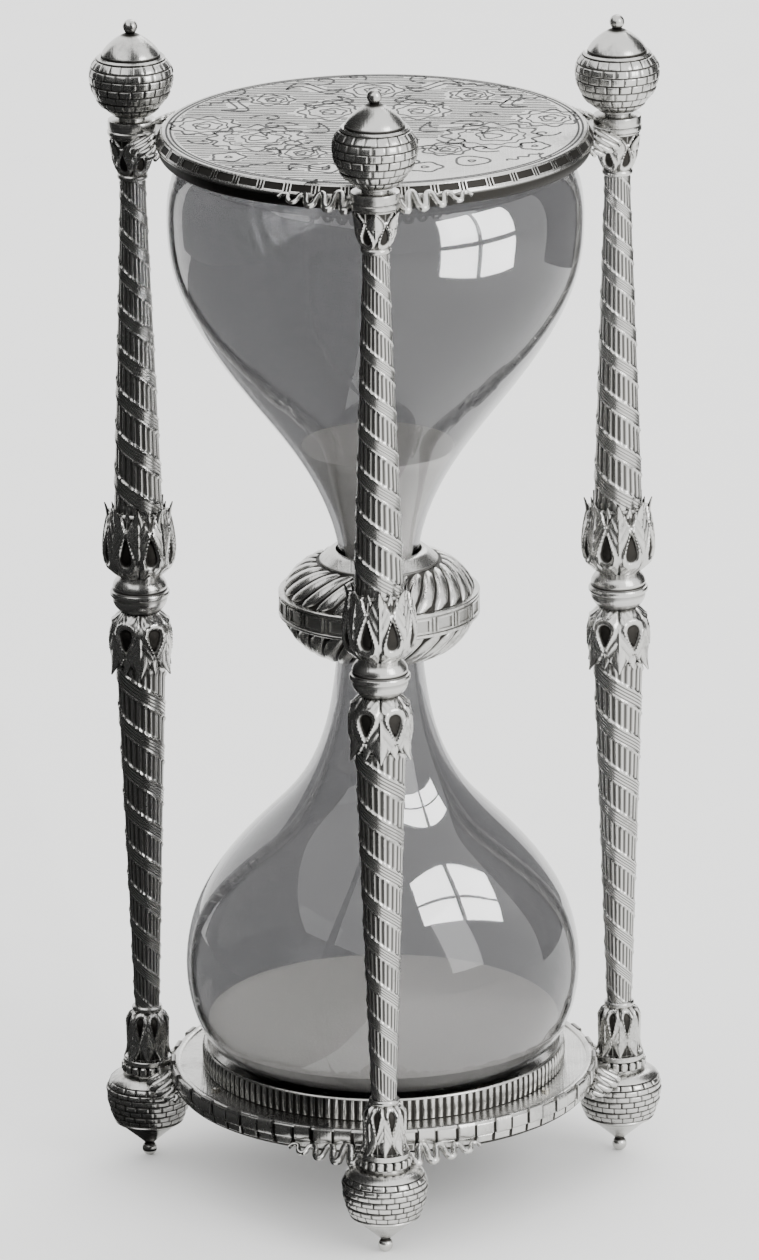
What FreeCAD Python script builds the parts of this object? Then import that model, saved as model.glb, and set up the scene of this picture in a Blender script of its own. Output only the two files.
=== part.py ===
import FreeCAD, Part
import math
import os
import re
import Sketcher

# An ornate three-post hourglass. Millimetres, +Z up. The origin lies on the axis of the glass at the level
# of the table. The front post stands towards -Y; the side posts stand a little behind the glass's axis.
# Upper and lower halves are built outwards from the middle plane, so every level is a distance from it.

SIZES = [
    # posts
    ("post_gap", 5.6, "from the wider plate's edge to the axes of the posts"),
    ("side_angle", 8.0, "how far the side posts stand behind the glass's axis, in degrees"),
    ("front_angle", 270.0, "direction of the front post, in degrees"),
    ("rod_radius", 1.2, "tie rod"),
    ("rod_clearance", 0.1, "gap between a tie rod and the bores round it"),
    ("rod_engagement", 3.5, "depth of a tie rod's end in its cap nut"),
    ("knop_height", 8.2, "lens-shaped knop at the middle of a post"),
    ("knop_radius", 6.5, "knop, at its edge"),
    ("knop_band", 1.4, "height of the band round the knop's edge"),
    ("calyx_floor", 1.9, "floor of a calyx, under the shaft's foot"),
    ("calyx_wall", 0.8, "wall of a calyx at its lip"),
    ("calyx_foot_inset", 1.1, "how much slimmer than the shaft a calyx is where it meets the knop"),
    ("calyx_rise", 5.6, "from a calyx's foot to its widest"),
    ("calyx_clearance", 0.1, "gap between a shaft and the calyx round it"),
    ("upper_calyx_height", 16.5, "calyx above the knop"),
    ("upper_calyx_swell", 1.55, "how far it swells out beyond its lip"),
    ("lower_calyx_height", 13.6, "calyx below the knop"),
    ("lower_calyx_swell", 0.6, "how far it swells out beyond its lip"),
    ("upper_shaft_length", 87.3, "shaft of the upper half"),
    ("lower_shaft_length", 89.5, "shaft of the lower half"),
    ("shaft_thick_radius", 5.4, "shaft at its thick end, near the knop"),
    ("shaft_thin_radius", 2.75, "shaft at its thin end, near a plate"),
    ("astragal_height", 1.3, "small ring at the foot of a capital"),
    ("astragal_radius", 3.3, "small ring at the foot of a capital"),
    ("upper_capital_height", 9.9, "capital under the top plate's eye, with its astragal"),
    ("upper_capital_rise", 4.2, "from its astragal to where its bowl has swelled out"),
    ("upper_capital_radius", 4.4, "its bowl"),
    ("upper_capital_top", 4.7, "its bowl under the disc"),
    ("upper_abacus_radius", 5.0, "the disc on it"),
    ("upper_abacus_height", 0.5, "the disc on it"),
    ("lower_capital_height", 13.3, "capital over the bottom rim's eye, with its astragal"),
    ("lower_capital_rise", 2.6, "from its astragal to where its bowl has swelled out"),
    ("lower_capital_radius", 4.65, "its bowl"),
    ("lower_capital_top", 4.4, "its bowl over the disc"),
    ("lower_abacus_radius", 5.4, "the disc under it"),
    ("lower_abacus_height", 1.2, "the disc under it"),
    ("upper_eye_radius", 5.3, "eye of the top plate round a tie rod"),
    ("upper_eye_thickness", 1.2, "eye of the top plate round a tie rod"),
    ("lower_eye_radius", 5.9, "eye of the bottom rim round a tie rod"),
    ("lower_eye_thickness", 1.9, "eye of the bottom rim round a tie rod"),
    ("upper_ring_radius", 5.2, "disc under the upper cup's neck"),
    ("upper_ring_height", 2.3, "disc under the upper cup's neck"),
    ("lower_ring_radius", 5.2, "fillet over the lower cup"),
    ("lower_ring_height", 0.3, "fillet over the lower cup"),
    ("upper_neck_radius", 3.0, "neck of the upper cup"),
    ("lower_neck_radius", 4.8, "neck of the lower cup"),
    ("cup_neck_height", 0.4, "neck of a cup"),
    ("upper_cup_height", 16.2, "ring, neck and bowl above the top plate"),
    ("upper_cup_radius", 9.2, "bowl above the top plate"),
    ("upper_cup_rise", 9.2, "from the foot of the upper bowl to its widest"),
    ("lower_cup_height", 11.9, "ring, neck and bowl below the bottom plate"),
    ("lower_cup_radius", 9.4, "bowl below the bottom plate"),
    ("lower_cup_rise", 3.8, "from the head of the lower bowl to its widest"),
    ("cup_lip", 0.5, "how far a bowl's end stands out round its cap nut"),
    ("upper_dome_radius", 6.4, "foot of the top cap nut"),
    ("upper_dome_height", 5.0, "dome of the top cap nut"),
    ("lower_dome_radius", 6.9, "foot of the bottom cap nut"),
    ("lower_dome_height", 5.4, "dome of the bottom cap nut"),
    ("ball_radius", 1.6, "tip ball of a cap nut"),
    ("ball_offset", 1.4, "from a dome's top to the centre of its tip ball"),
    ("foot_drop", 1.45, "from a tip ball's centre to the flat filed on it"),
    # plates
    ("plate_thickness", 2.7, "a plate's disc"),
    ("upper_plate_overhang", 2.4, "from the upper bulb's belly to the edge of the top plate"),
    ("upper_plate_bevel", 1.4, "how far the top plate's edge slopes in"),
    ("lower_plate_overhang", 3.2, "from the lower bulb's belly to the edge of the bottom plate"),
    ("lower_eye_drop", 0.1, "from the bottom plate's outer face to the bottom rim's eyes"),
    ("upper_rim_height", 2.8, "moulding under the top plate"),
    ("upper_rim_setback", 0.4, "from the top plate's edge to that moulding's"),
    ("upper_rim_slope", 1.6, "how far that moulding curves in"),
    ("upper_rim_width", 2.6, "that moulding's width"),
    ("lower_rim_height", 2.7, "moulding under the bottom plate"),
    ("lower_rim_setback", 0.4, "from the bottom plate's edge to that moulding's"),
    ("lower_rim_slope", 1.2, "how far that moulding's foot curves in"),
    ("lower_rim_width", 7.9, "that moulding's width"),
    ("seat_height", 5.0, "fluted ring that the lower bulb stands in"),
    ("seat_inset", 3.5, "from the lower bulb's belly in to that ring's outside"),
    ("seat_wall", 0.8, "that ring's wall"),
    ("pin_radius", 0.45, "dowels and rivet shanks"),
    ("dowel_inset", 1.6, "from the upper moulding's edge in to the top plate's dowels"),
    ("dowel_depth", 1.5, "how far a dowel goes into the plate and into the moulding"),
    ("dowel_count", 6, "dowels in the top plate"),
    ("rivet_offset", 2.0, "from the seat ring out to the bottom plate's rivets"),
    ("rivet_head_radius", 0.9, "a rivet's head"),
    ("rivet_head_height", 0.5, "a rivet's head"),
    ("rivet_count", 6, "rivets in the bottom plate"),
    ("rivet_angle", 28.0, "direction of the first rivet, in degrees"),
    # glass and sand
    ("glass_wall", 1.3, "wall of a bulb"),
    ("neck_radius", 8.6, "a bulb's neck, outside"),
    ("upper_belly_radius", 44.6, "upper bulb at its widest"),
    ("lower_belly_radius", 43.1, "lower bulb at its widest"),
    ("upper_cushion_thickness", 0.6, "leather pad over the upper bulb"),
    ("lower_cushion_thickness", 0.8, "leather pad under the lower bulb"),
    ("orifice_thickness", 0.8, "disc between the two necks"),
    ("orifice_radius", 0.6, "hole that the sand runs through"),
    ("sand_gap", 0.05, "gap between the sand and the glass"),
    ("upper_sand_level", 36.7, "edge of the upper sand, from the middle plane"),
    ("upper_sand_dip", 2.2, "hollow in the upper sand's surface"),
    ("lower_sand_depth", 9.7, "depth of the lower sand at its edge, with the glass under it"),
    ("lower_sand_mound", 2.5, "mound on the lower sand's surface"),
    # collar
    ("collar_radius", 20.4, "collar domes, where the belt goes round them"),
    ("collar_wall", 1.2, "wall of the collar domes"),
    ("belt_height", 5.4, "belt round the collar"),
    ("belt_thickness", 1.5, "belt round the collar"),
    ("upper_collar_height", 9.0, "collar's upper dome"),
    ("upper_collar_end", 4.2, "width of the upper dome's flat end"),
    ("lower_collar_height", 11.2, "collar's lower dome"),
    ("lower_collar_end", 1.7, "width of the lower dome's flat end"),
    ("collar_curve", 12.5, "radius of the domes' curve"),
    ("skirt_height", 2.8, "cone on top of the collar"),
    ("skirt_foot_width", 3.6, "that cone's width at its foot"),
    ("skirt_top_width", 0.9, "that cone's width at its top"),
    ("collar_bore_gap", 0.8, "gap between a neck and the collar's bore"),
    ("binding_thickness", 1.9, "waxed binding round the necks"),
    # serpentine ornaments
    ("scroll_wire", 0.55, "radius of an ornament's wire"),
    ("scroll_bend", 0.95, "radius of its bends"),
    ("scroll_run", 2.7, "straight run between two bends"),
    ("scroll_bends", 7, "bends in one ornament"),
    ("scroll_tilt", 30.0, "how far its outer bends hang below its inner ones, in degrees"),
    ("scroll_gap", 0.15, "gap between its inner bends and the edge that it follows"),
]

POSTS = {"front": "front_angle", "left": "180 - side_angle", "right": "side_angle"}
ENDS = {"upper": "top", "lower": "bottom"}

# Outer outlines of the bulbs, from the neck's mouth to where the flat end begins. Each point is a share of
# the bulb's length, then of the way from the neck's radius to the belly's.
UPPER_BULB = [(0.0, 0.0), (0.12, 0.008), (0.21, 0.08), (0.30, 0.208), (0.47, 0.558), (0.645, 0.878),
              (0.735, 0.97), (0.825, 1.0), (0.92, 0.975), (0.975, 0.89), (1.0, 0.76)]
LOWER_BULB = [(0.0, 0.0), (0.10, 0.02), (0.18, 0.046), (0.31, 0.142), (0.395, 0.284), (0.48, 0.525),
              (0.567, 0.759), (0.653, 0.916), (0.78, 1.0), (0.867, 0.971), (0.96, 0.82), (1.0, 0.55)]
OFFSET_POINTS = 40

document = FreeCAD.newDocument("Hourglass")
sheet = document.addObject("Spreadsheet::Sheet", "Sizes")
for row, (alias, size, meaning) in enumerate(SIZES, start=1):
    sheet.set(f"A{row}", meaning)
    sheet.set(f"B{row}", str(size))
    sheet.setAlias(f"B{row}", alias)
document.recompute()

nodes = []


# ---- expressions ----------------------------------------------------------------------------------------

def bound(text):
    """The expression with each size's name written as a cell of the sheet."""
    return re.sub(r"[a-z]+(?:_[a-z]+)+", r"Sizes.\g<0>", text)


def value(text):
    """The number that an expression gives now."""
    return float(sheet.evalExpression(bound(text)))


BORE = "(rod_radius + rod_clearance)"
SHAFT_FOOT = "(knop_height / 2 + calyx_floor)"
UPPER_PLATE = "(upper_belly_radius + upper_plate_overhang)"
LOWER_PLATE = "(lower_belly_radius + lower_plate_overhang)"
UPPER_RIM = f"({UPPER_PLATE} - upper_rim_setback)"
LOWER_RIM = f"({LOWER_PLATE} - lower_rim_setback)"
POST_CIRCLE = f"(max({UPPER_PLATE}; {LOWER_PLATE}) + post_gap)"
SEAT = "(lower_belly_radius - seat_inset)"
DOWEL_CIRCLE = f"({UPPER_RIM} - dowel_inset)"
RIVET_CIRCLE = f"({SEAT} + rivet_offset)"
COLLAR_BORE = "(neck_radius + collar_bore_gap)"
BINDING_HALF = "(upper_collar_height - collar_wall)"
EYE_ROOT = {"upper": f"{UPPER_PLATE} - 2 * upper_plate_bevel", "lower": f"{LOWER_RIM} - lower_rim_width / 2"}


def capital_level(half):
    return f"({SHAFT_FOOT} + {half}_shaft_length)"


def eye_level(half):
    return f"({capital_level(half)} + {half}_capital_height)"


def cup_level(half):
    return f"({eye_level(half)} + {half}_eye_thickness)"


def acorn_level(half):
    return f"({cup_level(half)} + {half}_cup_height)"


def plate_level(half):
    """From the middle plane to a plate's inner face. The top plate's eyes start flush with that face."""
    return eye_level(half) if half == "upper" else f"({eye_level(half)} - lower_eye_drop - plate_thickness)"


def bulb_length(half):
    return f"({plate_level(half)} - {half}_cushion_thickness - orifice_thickness / 2)"


MIDDLE = f"({acorn_level('lower')} + lower_dome_height + ball_offset + foot_drop)"


def post_place(post):
    angle = POSTS[post]
    return f"{POST_CIRCLE} * cos({angle})", f"{POST_CIRCLE} * sin({angle})"


# ---- building blocks ------------------------------------------------------------------------------------

def place(piece, half, level, x="0", y="0"):
    """Stands a piece on a level of its half. A lower piece is turned over, so its own +Z points down."""
    if half == "lower":
        piece.Placement = FreeCAD.Placement(FreeCAD.Vector(), FreeCAD.Rotation(FreeCAD.Vector(1, 0, 0), 180))
    sign = "+" if half == "upper" else "-"
    piece.setExpression("Placement.Base.x", bound(x))
    piece.setExpression("Placement.Base.y", bound(y))
    piece.setExpression("Placement.Base.z", bound(f"{MIDDLE} {sign} ({level})"))


def new_body(label):
    body = document.addObject("PartDesign::Body", label)
    body.Label = label
    nodes.append(body)
    return body


def new_sketch(body, role, name="Outline"):
    sketch = body.newObject("Sketcher::SketchObject", name)
    plane = next(item for item in body.Origin.OriginFeatures if item.Role == role)
    sketch.AttachmentSupport = [(plane, "")]
    sketch.MapMode = "FlatFace"
    return sketch


def arc_between(start, end, radius, side):
    """The short arc between two points. Side 1 bulges to the left of the way there, -1 to the right."""
    chord = end - start
    middle = (start + end) / 2
    left = FreeCAD.Vector(-chord.y, chord.x, 0).normalize()
    centre = middle - left * side * math.sqrt(radius ** 2 - (chord.Length / 2) ** 2)
    first, last = (end, start) if side > 0 else (start, end)
    angle = math.atan2(first.y - centre.y, first.x - centre.x)
    until = math.atan2(last.y - centre.y, last.x - centre.x)
    if until < angle:
        until += 2 * math.pi
    circle = Part.Circle(centre, FreeCAD.Vector(0, 0, 1), radius)
    return Part.ArcOfCircle(circle, angle, until)


def easing(across, along):
    """Radius of the arc that covers these two distances and ends running straight along."""
    return f"(({across})^2 + ({along})^2) / (2 * ({across}))"


def hold(sketch, kind, geometry, point, text):
    """Ties one coordinate of a sketch's point to an expression."""
    if text == "0":
        axis = -2 if kind == "DistanceX" else -1
        sketch.addConstraint(Sketcher.Constraint("PointOnObject", geometry, point, axis))
        return
    number = sketch.addConstraint(Sketcher.Constraint(kind, -1, 1, geometry, point, value(text)))
    sketch.setExpression(f"Constraints[{number}]", bound(text))


def draw_outline(sketch, outline):
    """A closed outline. Each corner is (x, y), or (x, y, radius, side) where an arc leaves it."""
    corners = [FreeCAD.Vector(value(corner[0]), value(corner[1]), 0) for corner in outline]
    tails = []
    heads = []
    for index, corner in enumerate(outline):
        start = corners[index]
        end = corners[(index + 1) % len(corners)]
        if len(corner) == 2:
            geometry = sketch.addGeometry(Part.LineSegment(start, end))
            tails.append((geometry, 1))
            heads.append((geometry, 2))
            continue
        radius, side = corner[2:]
        geometry = sketch.addGeometry(arc_between(start, end, value(radius), side))
        tails.append((geometry, 2 if side > 0 else 1))
        heads.append((geometry, 1 if side > 0 else 2))
        number = sketch.addConstraint(Sketcher.Constraint("Radius", geometry, value(radius)))
        sketch.setExpression(f"Constraints[{number}]", bound(radius))
    for index, corner in enumerate(outline):
        sketch.addConstraint(Sketcher.Constraint("Coincident", *heads[index - 1], *tails[index]))
        hold(sketch, "DistanceX", *tails[index], corner[0])
        hold(sketch, "DistanceY", *tails[index], corner[1])


def draw_circle(sketch, distance, radius):
    """A circle whose centre lies on the sketch's X axis."""
    centre = FreeCAD.Vector(value(distance), 0, 0)
    ring = sketch.addGeometry(Part.Circle(centre, FreeCAD.Vector(0, 0, 1), value(radius)))
    sketch.addConstraint(Sketcher.Constraint("PointOnObject", ring, 3, -1))
    hold(sketch, "DistanceX", ring, 3, distance)
    number = sketch.addConstraint(Sketcher.Constraint("Radius", ring, value(radius)))
    sketch.setExpression(f"Constraints[{number}]", bound(radius))


def turned(label, outline):
    """A piece turned on a lathe: an outline of (radius, height) corners, revolved about the piece's axis."""
    body = new_body(label)
    sketch = new_sketch(body, "XZ_Plane")
    draw_outline(sketch, outline)
    revolution = body.newObject("PartDesign::Revolution", "Turning")
    revolution.Profile = sketch
    revolution.ReferenceAxis = (sketch, ["V_Axis"])
    revolution.Angle = 360
    document.recompute()
    return body


def round_sketch(body, circle, angle, radius, height):
    """A sketch with one small circle, on the given pitch circle, direction and height."""
    sketch = new_sketch(body, "XY_Plane", "Round")
    draw_circle(sketch, circle, radius)
    turn_sketch(sketch, angle, height)
    return sketch


def turn_sketch(sketch, angle, height):
    upright = FreeCAD.Rotation(FreeCAD.Vector(0, 0, 1), 1)
    sketch.AttachmentOffset = FreeCAD.Placement(FreeCAD.Vector(), upright)
    sketch.setExpression("AttachmentOffset.Base.z", bound(height))
    sketch.setExpression("AttachmentOffset.Rotation.Angle", bound(angle))


def repeat(body, sketch, features, count):
    """Repeats features of a body round its axis."""
    plane = next(item for item in body.Origin.OriginFeatures if item.Role == "Z_Axis")
    pattern = body.newObject("PartDesign::PolarPattern", "Round_about")
    pattern.Originals = features
    pattern.Axis = (plane, [""])
    pattern.Angle = 360
    pattern.setExpression("Occurrences", bound(count))
    body.Tip = pattern
    document.recompute()


def pad(body, sketch, length):
    feature = body.newObject("PartDesign::Pad", "Pad")
    feature.Profile = sketch
    feature.setExpression("Length", bound(length))
    document.recompute()
    return feature


def drill(body, circle, angle, radius, height, depth, count):
    """Round holes from a height upwards, repeated round the body."""
    before = body.Shape.Volume
    sketch = round_sketch(body, circle, angle, radius, height)
    pocket = body.newObject("PartDesign::Pocket", "Holes")
    pocket.Profile = sketch
    pocket.setExpression("Length", bound(depth))
    pocket.Reversed = True
    document.recompute()
    repeat(body, sketch, [pocket], count)
    if body.Shape.Volume >= before:
        raise RuntimeError(f"{body.Label}: its holes cut nothing")


def cylinder(label, radius, height):
    piece = document.addObject("Part::Cylinder", label)
    piece.Label = label
    piece.setExpression("Radius", bound(radius))
    piece.setExpression("Height", bound(height))
    nodes.append(piece)
    return piece


def shaped(label, shape):
    """A piece whose shape is made with Part's own functions."""
    piece = document.addObject("Part::Feature", label)
    piece.Label = label
    piece.Shape = shape
    nodes.append(piece)
    return piece


# ---- posts ----------------------------------------------------------------------------------------------

def make_knop(post):
    edge = "(knop_height - knop_band) / 2"
    curve = "knop_radius * 1.6"
    waist = "shaft_thick_radius * 0.75"
    body = turned(f"{post}_knop", [
        (BORE, "0"), (waist, "0", curve, -1), ("knop_radius - 0.5", edge), ("knop_radius", edge),
        ("knop_radius", f"{edge} + knop_band"), ("knop_radius - 0.5", f"{edge} + knop_band", curve, -1),
        (waist, "knop_height"), (BORE, "knop_height")])
    place(body, "upper", "-knop_height / 2", *post_place(post))


def make_calyx(post, half):
    """A leaf cup whose floor carries the shaft and whose lip follows it."""
    height = f"{half}_calyx_height"
    socket = "(shaft_thick_radius + calyx_clearance)"
    lip = f"({socket} + calyx_wall)"
    widest = f"({lip} + {half}_calyx_swell)"
    foot = "(shaft_thick_radius - calyx_foot_inset)"
    below = easing(f"{widest} - {foot}", "calyx_rise")
    above = easing(f"{widest} - {lip}", f"{height} - calyx_rise")
    body = turned(f"{post}_{half}_calyx", [
        (BORE, "0"), (foot, "0", below, -1), (widest, "calyx_rise", above, -1),
        (lip, height), (socket, height), (socket, "calyx_floor"), (BORE, "calyx_floor")])
    place(body, half, "knop_height / 2", *post_place(post))


def make_shaft(post, half):
    length = f"{half}_shaft_length"
    body = turned(f"{post}_{half}_shaft", [
        (BORE, "0"), ("shaft_thick_radius", "0"), ("shaft_thick_radius", f"{length} * 0.12"),
        ("shaft_thin_radius", length), (BORE, length)])
    place(body, half, SHAFT_FOOT, *post_place(post))


def make_capital(post, half):
    """An astragal, then a bowl of leaves that swells quickly and ends in a flat disc against the eye."""
    height = f"{half}_capital_height"
    widest = f"{half}_capital_radius"
    swell = f"(astragal_height + {half}_capital_rise)"
    top = f"({height} - {half}_abacus_height)"
    bowl = easing(f"{widest} - shaft_thin_radius", f"{half}_capital_rise")
    body = turned(f"{post}_{ENDS[half]}_capital", [
        (BORE, "0"), ("astragal_radius - 0.3", "0"), ("astragal_radius", "astragal_height / 2"),
        ("astragal_radius - 0.3", "astragal_height"), ("shaft_thin_radius", "astragal_height", bowl, -1),
        (widest, swell), (f"{half}_capital_top", top), (f"{half}_abacus_radius", top),
        (f"{half}_abacus_radius", height), (BORE, height)])
    place(body, half, capital_level(half), *post_place(post))


def make_cup(post, half):
    height = f"{half}_cup_height"
    widest = f"{half}_cup_radius"
    neck = f"{half}_neck_radius"
    ring = f"{half}_ring_radius"
    ring_top = f"{half}_ring_height"
    neck_top = f"({ring_top} + cup_neck_height)"
    belly = f"({neck_top} + {half}_cup_rise)"
    lip = f"({half}_dome_radius + cup_lip)"
    below = easing(f"{widest} - {neck}", f"{half}_cup_rise")
    above = easing(f"{widest} - {lip}", f"{height} - {belly}")
    body = turned(f"{post}_{ENDS[half]}_cup", [
        (BORE, "0"), (ring, "0"), (ring, ring_top), (neck, ring_top), (neck, neck_top, below, -1),
        (widest, belly, above, -1), (lip, height), (BORE, height)])
    place(body, half, cup_level(half), *post_place(post))


def make_acorn(post, half):
    """A domed cap nut with a tip ball, filed flat at its end because the glass stands on either end."""
    foot = f"{half}_dome_radius"
    dome = f"{half}_dome_height"
    centre = f"({dome} + ball_offset)"
    tip = "sqrt(ball_radius^2 - foot_drop^2)"
    stem = "sqrt(ball_radius^2 - ball_offset^2)"
    body = turned(f"{post}_{ENDS[half]}_acorn", [
        ("rod_radius", "0"), (foot, "0", f"{foot} * 1.3", -1), (stem, dome, "ball_radius", -1),
        ("ball_radius", centre, "ball_radius", -1), (tip, f"{centre} + foot_drop"),
        ("0", f"{centre} + foot_drop"), ("0", "rod_engagement"), ("rod_radius", "rod_engagement")])
    place(body, half, acorn_level(half), *post_place(post))


def make_tie_rod(post):
    length = f"{acorn_level('upper')} + {acorn_level('lower')} + 2 * rod_engagement"
    rod = cylinder(f"{post}_tie_rod", "rod_radius", length)
    place(rod, "upper", f"-({acorn_level('lower')} + rod_engagement)", *post_place(post))


# ---- plates ---------------------------------------------------------------------------------------------

def add_eyes(body, half, height):
    """Three eyes that reach out from a round edge to the tie rods."""
    radius = f"{half}_eye_radius"
    root = EYE_ROOT[half]
    for post in POSTS:
        sketch = new_sketch(body, "XY_Plane", "Eye")
        draw_outline(sketch, [
            (root, f"{radius} * -1"), (POST_CIRCLE, f"{radius} * -1", radius, -1),
            (f"{POST_CIRCLE} + {radius}", "0", radius, -1), (POST_CIRCLE, radius), (root, radius)])
        draw_circle(sketch, POST_CIRCLE, BORE)
        turn_sketch(sketch, POSTS[post], height)
        pad(body, sketch, f"{half}_eye_thickness")


def make_top_plate():
    body = turned("top_plate", [
        ("0", "0"), (UPPER_PLATE, "0"), (UPPER_PLATE, "plate_thickness * 0.15"),
        (f"{UPPER_PLATE} - upper_plate_bevel", "plate_thickness"), ("0", "plate_thickness")])
    add_eyes(body, "upper", "0")
    drill(body, DOWEL_CIRCLE, "0", "pin_radius", "0", "dowel_depth", "dowel_count")
    place(body, "upper", plate_level("upper"))


def make_bottom_plate():
    """Upright in its own frame: its outer face is at height 0 and its inner face on top."""
    body = turned("bottom_plate", [
        ("0", "0"), (LOWER_PLATE, "0"), (LOWER_PLATE, "plate_thickness"),
        ("0", "plate_thickness")])
    drill(body, RIVET_CIRCLE, "rivet_angle", "pin_radius", "0", "plate_thickness", "rivet_count")
    place(body, "upper", f"-({plate_level('lower')} + plate_thickness)")


def make_top_rim():
    """Its curved edge turns in towards the glass below the plate."""
    bore = f"{UPPER_RIM} - upper_rim_width"
    body = turned("top_rim", [
        (bore, "0"), (f"{UPPER_RIM} - upper_rim_slope", "0", "upper_rim_height * 1.3", 1),
        (UPPER_RIM, "upper_rim_height"), (bore, "upper_rim_height")])
    hole_foot = "upper_rim_height - dowel_depth"
    drill(body, DOWEL_CIRCLE, "0", "pin_radius", hole_foot, "dowel_depth", "dowel_count")
    place(body, "upper", f"{plate_level('upper')} - upper_rim_height")


def make_bottom_rim():
    """The ring under the bottom plate, with the eyes that carry it. Upright in its own frame."""
    half_height = "lower_rim_height / 2"
    bore = f"{LOWER_RIM} - lower_rim_width"
    body = turned("bottom_rim", [
        (bore, "0"), (f"{LOWER_RIM} - lower_rim_slope", "0", easing("lower_rim_slope", half_height), -1),
        (LOWER_RIM, half_height), (LOWER_RIM, "lower_rim_height"), (bore, "lower_rim_height")])
    add_eyes(body, "lower", "lower_rim_height - lower_eye_drop - lower_eye_thickness")
    drill(body, RIVET_CIRCLE, "rivet_angle", "pin_radius", "0", "lower_rim_height", "rivet_count")
    place(body, "upper", f"-({plate_level('lower')} + plate_thickness + lower_rim_height)")


def make_seat_ring():
    bore = f"{SEAT} - seat_wall"
    body = turned("seat_ring", [
        (bore, "0"), (SEAT, "0"), (SEAT, "seat_height * 0.8"), (f"{SEAT} - seat_wall / 2", "seat_height"),
        (bore, "seat_height")])
    place(body, "upper", f"-{plate_level('lower')}")


def make_top_dowels():
    body = new_body("top_dowels")
    body.AllowCompound = True
    sketch = round_sketch(body, DOWEL_CIRCLE, "0", "pin_radius", "0")
    shank = pad(body, sketch, "2 * dowel_depth")
    repeat(body, sketch, [shank], "dowel_count")
    place(body, "upper", f"{plate_level('upper')} - dowel_depth")


def make_bottom_rivets():
    body = new_body("bottom_rivets")
    body.AllowCompound = True
    shank_length = "lower_rim_height + plate_thickness"
    sketch = round_sketch(body, RIVET_CIRCLE, "rivet_angle", "pin_radius", "0")
    shank = pad(body, sketch, shank_length)
    head_sketch = round_sketch(body, RIVET_CIRCLE, "rivet_angle", "rivet_head_radius", shank_length)
    head = pad(body, head_sketch, "rivet_head_height")
    repeat(body, sketch, [shank, head], "rivet_count")
    place(body, "upper", f"-({plate_level('lower')} + plate_thickness + lower_rim_height)")


def make_cushion(half):
    flat_share = (UPPER_BULB if half == "upper" else LOWER_BULB)[-1][1]
    radius = f"neck_radius + ({half}_belly_radius - neck_radius) * {flat_share}"
    thickness = f"{half}_cushion_thickness"
    pad_of_leather = cylinder(f"{ENDS[half]}_cushion", radius, thickness)
    place(pad_of_leather, half, f"{plate_level(half)} - {thickness}")


# ---- glass and sand -------------------------------------------------------------------------------------

def smooth(points):
    """A curve through points that sets off along the axis and arrives square to it."""
    curve = Part.BSplineCurve()
    leaving = FreeCAD.Vector(0, 0, 1)
    curve.interpolate(Points=points, InitialTangent=leaving, FinalTangent=FreeCAD.Vector(-1, 0, 0))
    return curve


def bulb_curve(half, inset):
    """The outline of a bulb, or the same outline set in by a distance, from the neck to the flat end."""
    length = value(bulb_length(half))
    neck = value("neck_radius")
    belly = value(f"{half}_belly_radius")
    shares = UPPER_BULB if half == "upper" else LOWER_BULB
    points = [FreeCAD.Vector(neck + (belly - neck) * across, 0, length * along) for along, across in shares]
    curve = smooth(points)
    if inset == 0:
        return curve
    first = curve.FirstParameter
    last = curve.LastParameter
    inner = []
    for index in range(OFFSET_POINTS + 1):
        parameter = first + (last - first) * index / OFFSET_POINTS
        along = curve.tangent(parameter)[0]
        inner.append(curve.value(parameter) + FreeCAD.Vector(-along.z, 0, along.x) * inset)
    return smooth(inner)


def revolved(edges):
    face = Part.Face(Part.Wire(edges))
    return face.revolve(FreeCAD.Vector(), FreeCAD.Vector(0, 0, 1), 360)


def line(start, end):
    return Part.LineSegment(start, end).toShape()


def on_axis(height):
    return FreeCAD.Vector(0, 0, height)


def make_bulb(half):
    outer = bulb_curve(half, 0)
    inner = bulb_curve(half, value("glass_wall"))
    outer_end = outer.EndPoint
    inner_end = inner.EndPoint
    bulb = revolved([
        outer.toShape(), line(outer_end, on_axis(outer_end.z)),
        line(on_axis(outer_end.z), on_axis(inner_end.z)),
        line(on_axis(inner_end.z), inner_end), inner.toShape(), line(inner.StartPoint, outer.StartPoint)])
    place(shaped(f"{half}_bulb", bulb), half, "orifice_thickness / 2")


def bulb_filling(half):
    """All the room inside a bulb, less the gap round the sand."""
    curve = bulb_curve(half, value("glass_wall + sand_gap"))
    start = curve.StartPoint
    end = curve.EndPoint
    return revolved([curve.toShape(), line(end, on_axis(end.z)), line(on_axis(end.z), on_axis(start.z)),
                     line(on_axis(start.z), start)])


def sand_block(low, high, rim, tip):
    """A wide round block from low to high whose face at rim height runs to tip height on the axis."""
    wide = value("upper_belly_radius")
    corners = [on_axis(low), FreeCAD.Vector(wide, 0, low), FreeCAD.Vector(wide, 0, high),
               FreeCAD.Vector(rim, 0, high), on_axis(tip)]
    return revolved([line(corners[number - 1], corners[number]) for number in range(len(corners))])


def make_sand(half):
    """The upper sand is hollowed over the neck; the lower sand is heaped under it."""
    spread = value(f"{half}_belly_radius") / 2
    if half == "upper":
        level = value("upper_sand_level - orifice_thickness / 2")
        sand = bulb_filling(half).common(sand_block(0, level, spread, level - value("upper_sand_dip")))
    else:
        level = value(f"{bulb_length(half)} - lower_sand_depth")
        sand = bulb_filling(half).cut(sand_block(0, level, spread, level - value("lower_sand_mound")))
    place(shaped(f"{half}_sand", sand.Solids[0]), half, "orifice_thickness / 2")


def make_orifice_plate():
    body = turned("orifice_plate", [
        ("orifice_radius", "0"), ("neck_radius", "0"), ("neck_radius", "orifice_thickness"),
        ("orifice_radius", "orifice_thickness")])
    place(body, "upper", "-orifice_thickness / 2")


# ---- collar ---------------------------------------------------------------------------------------------

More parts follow.
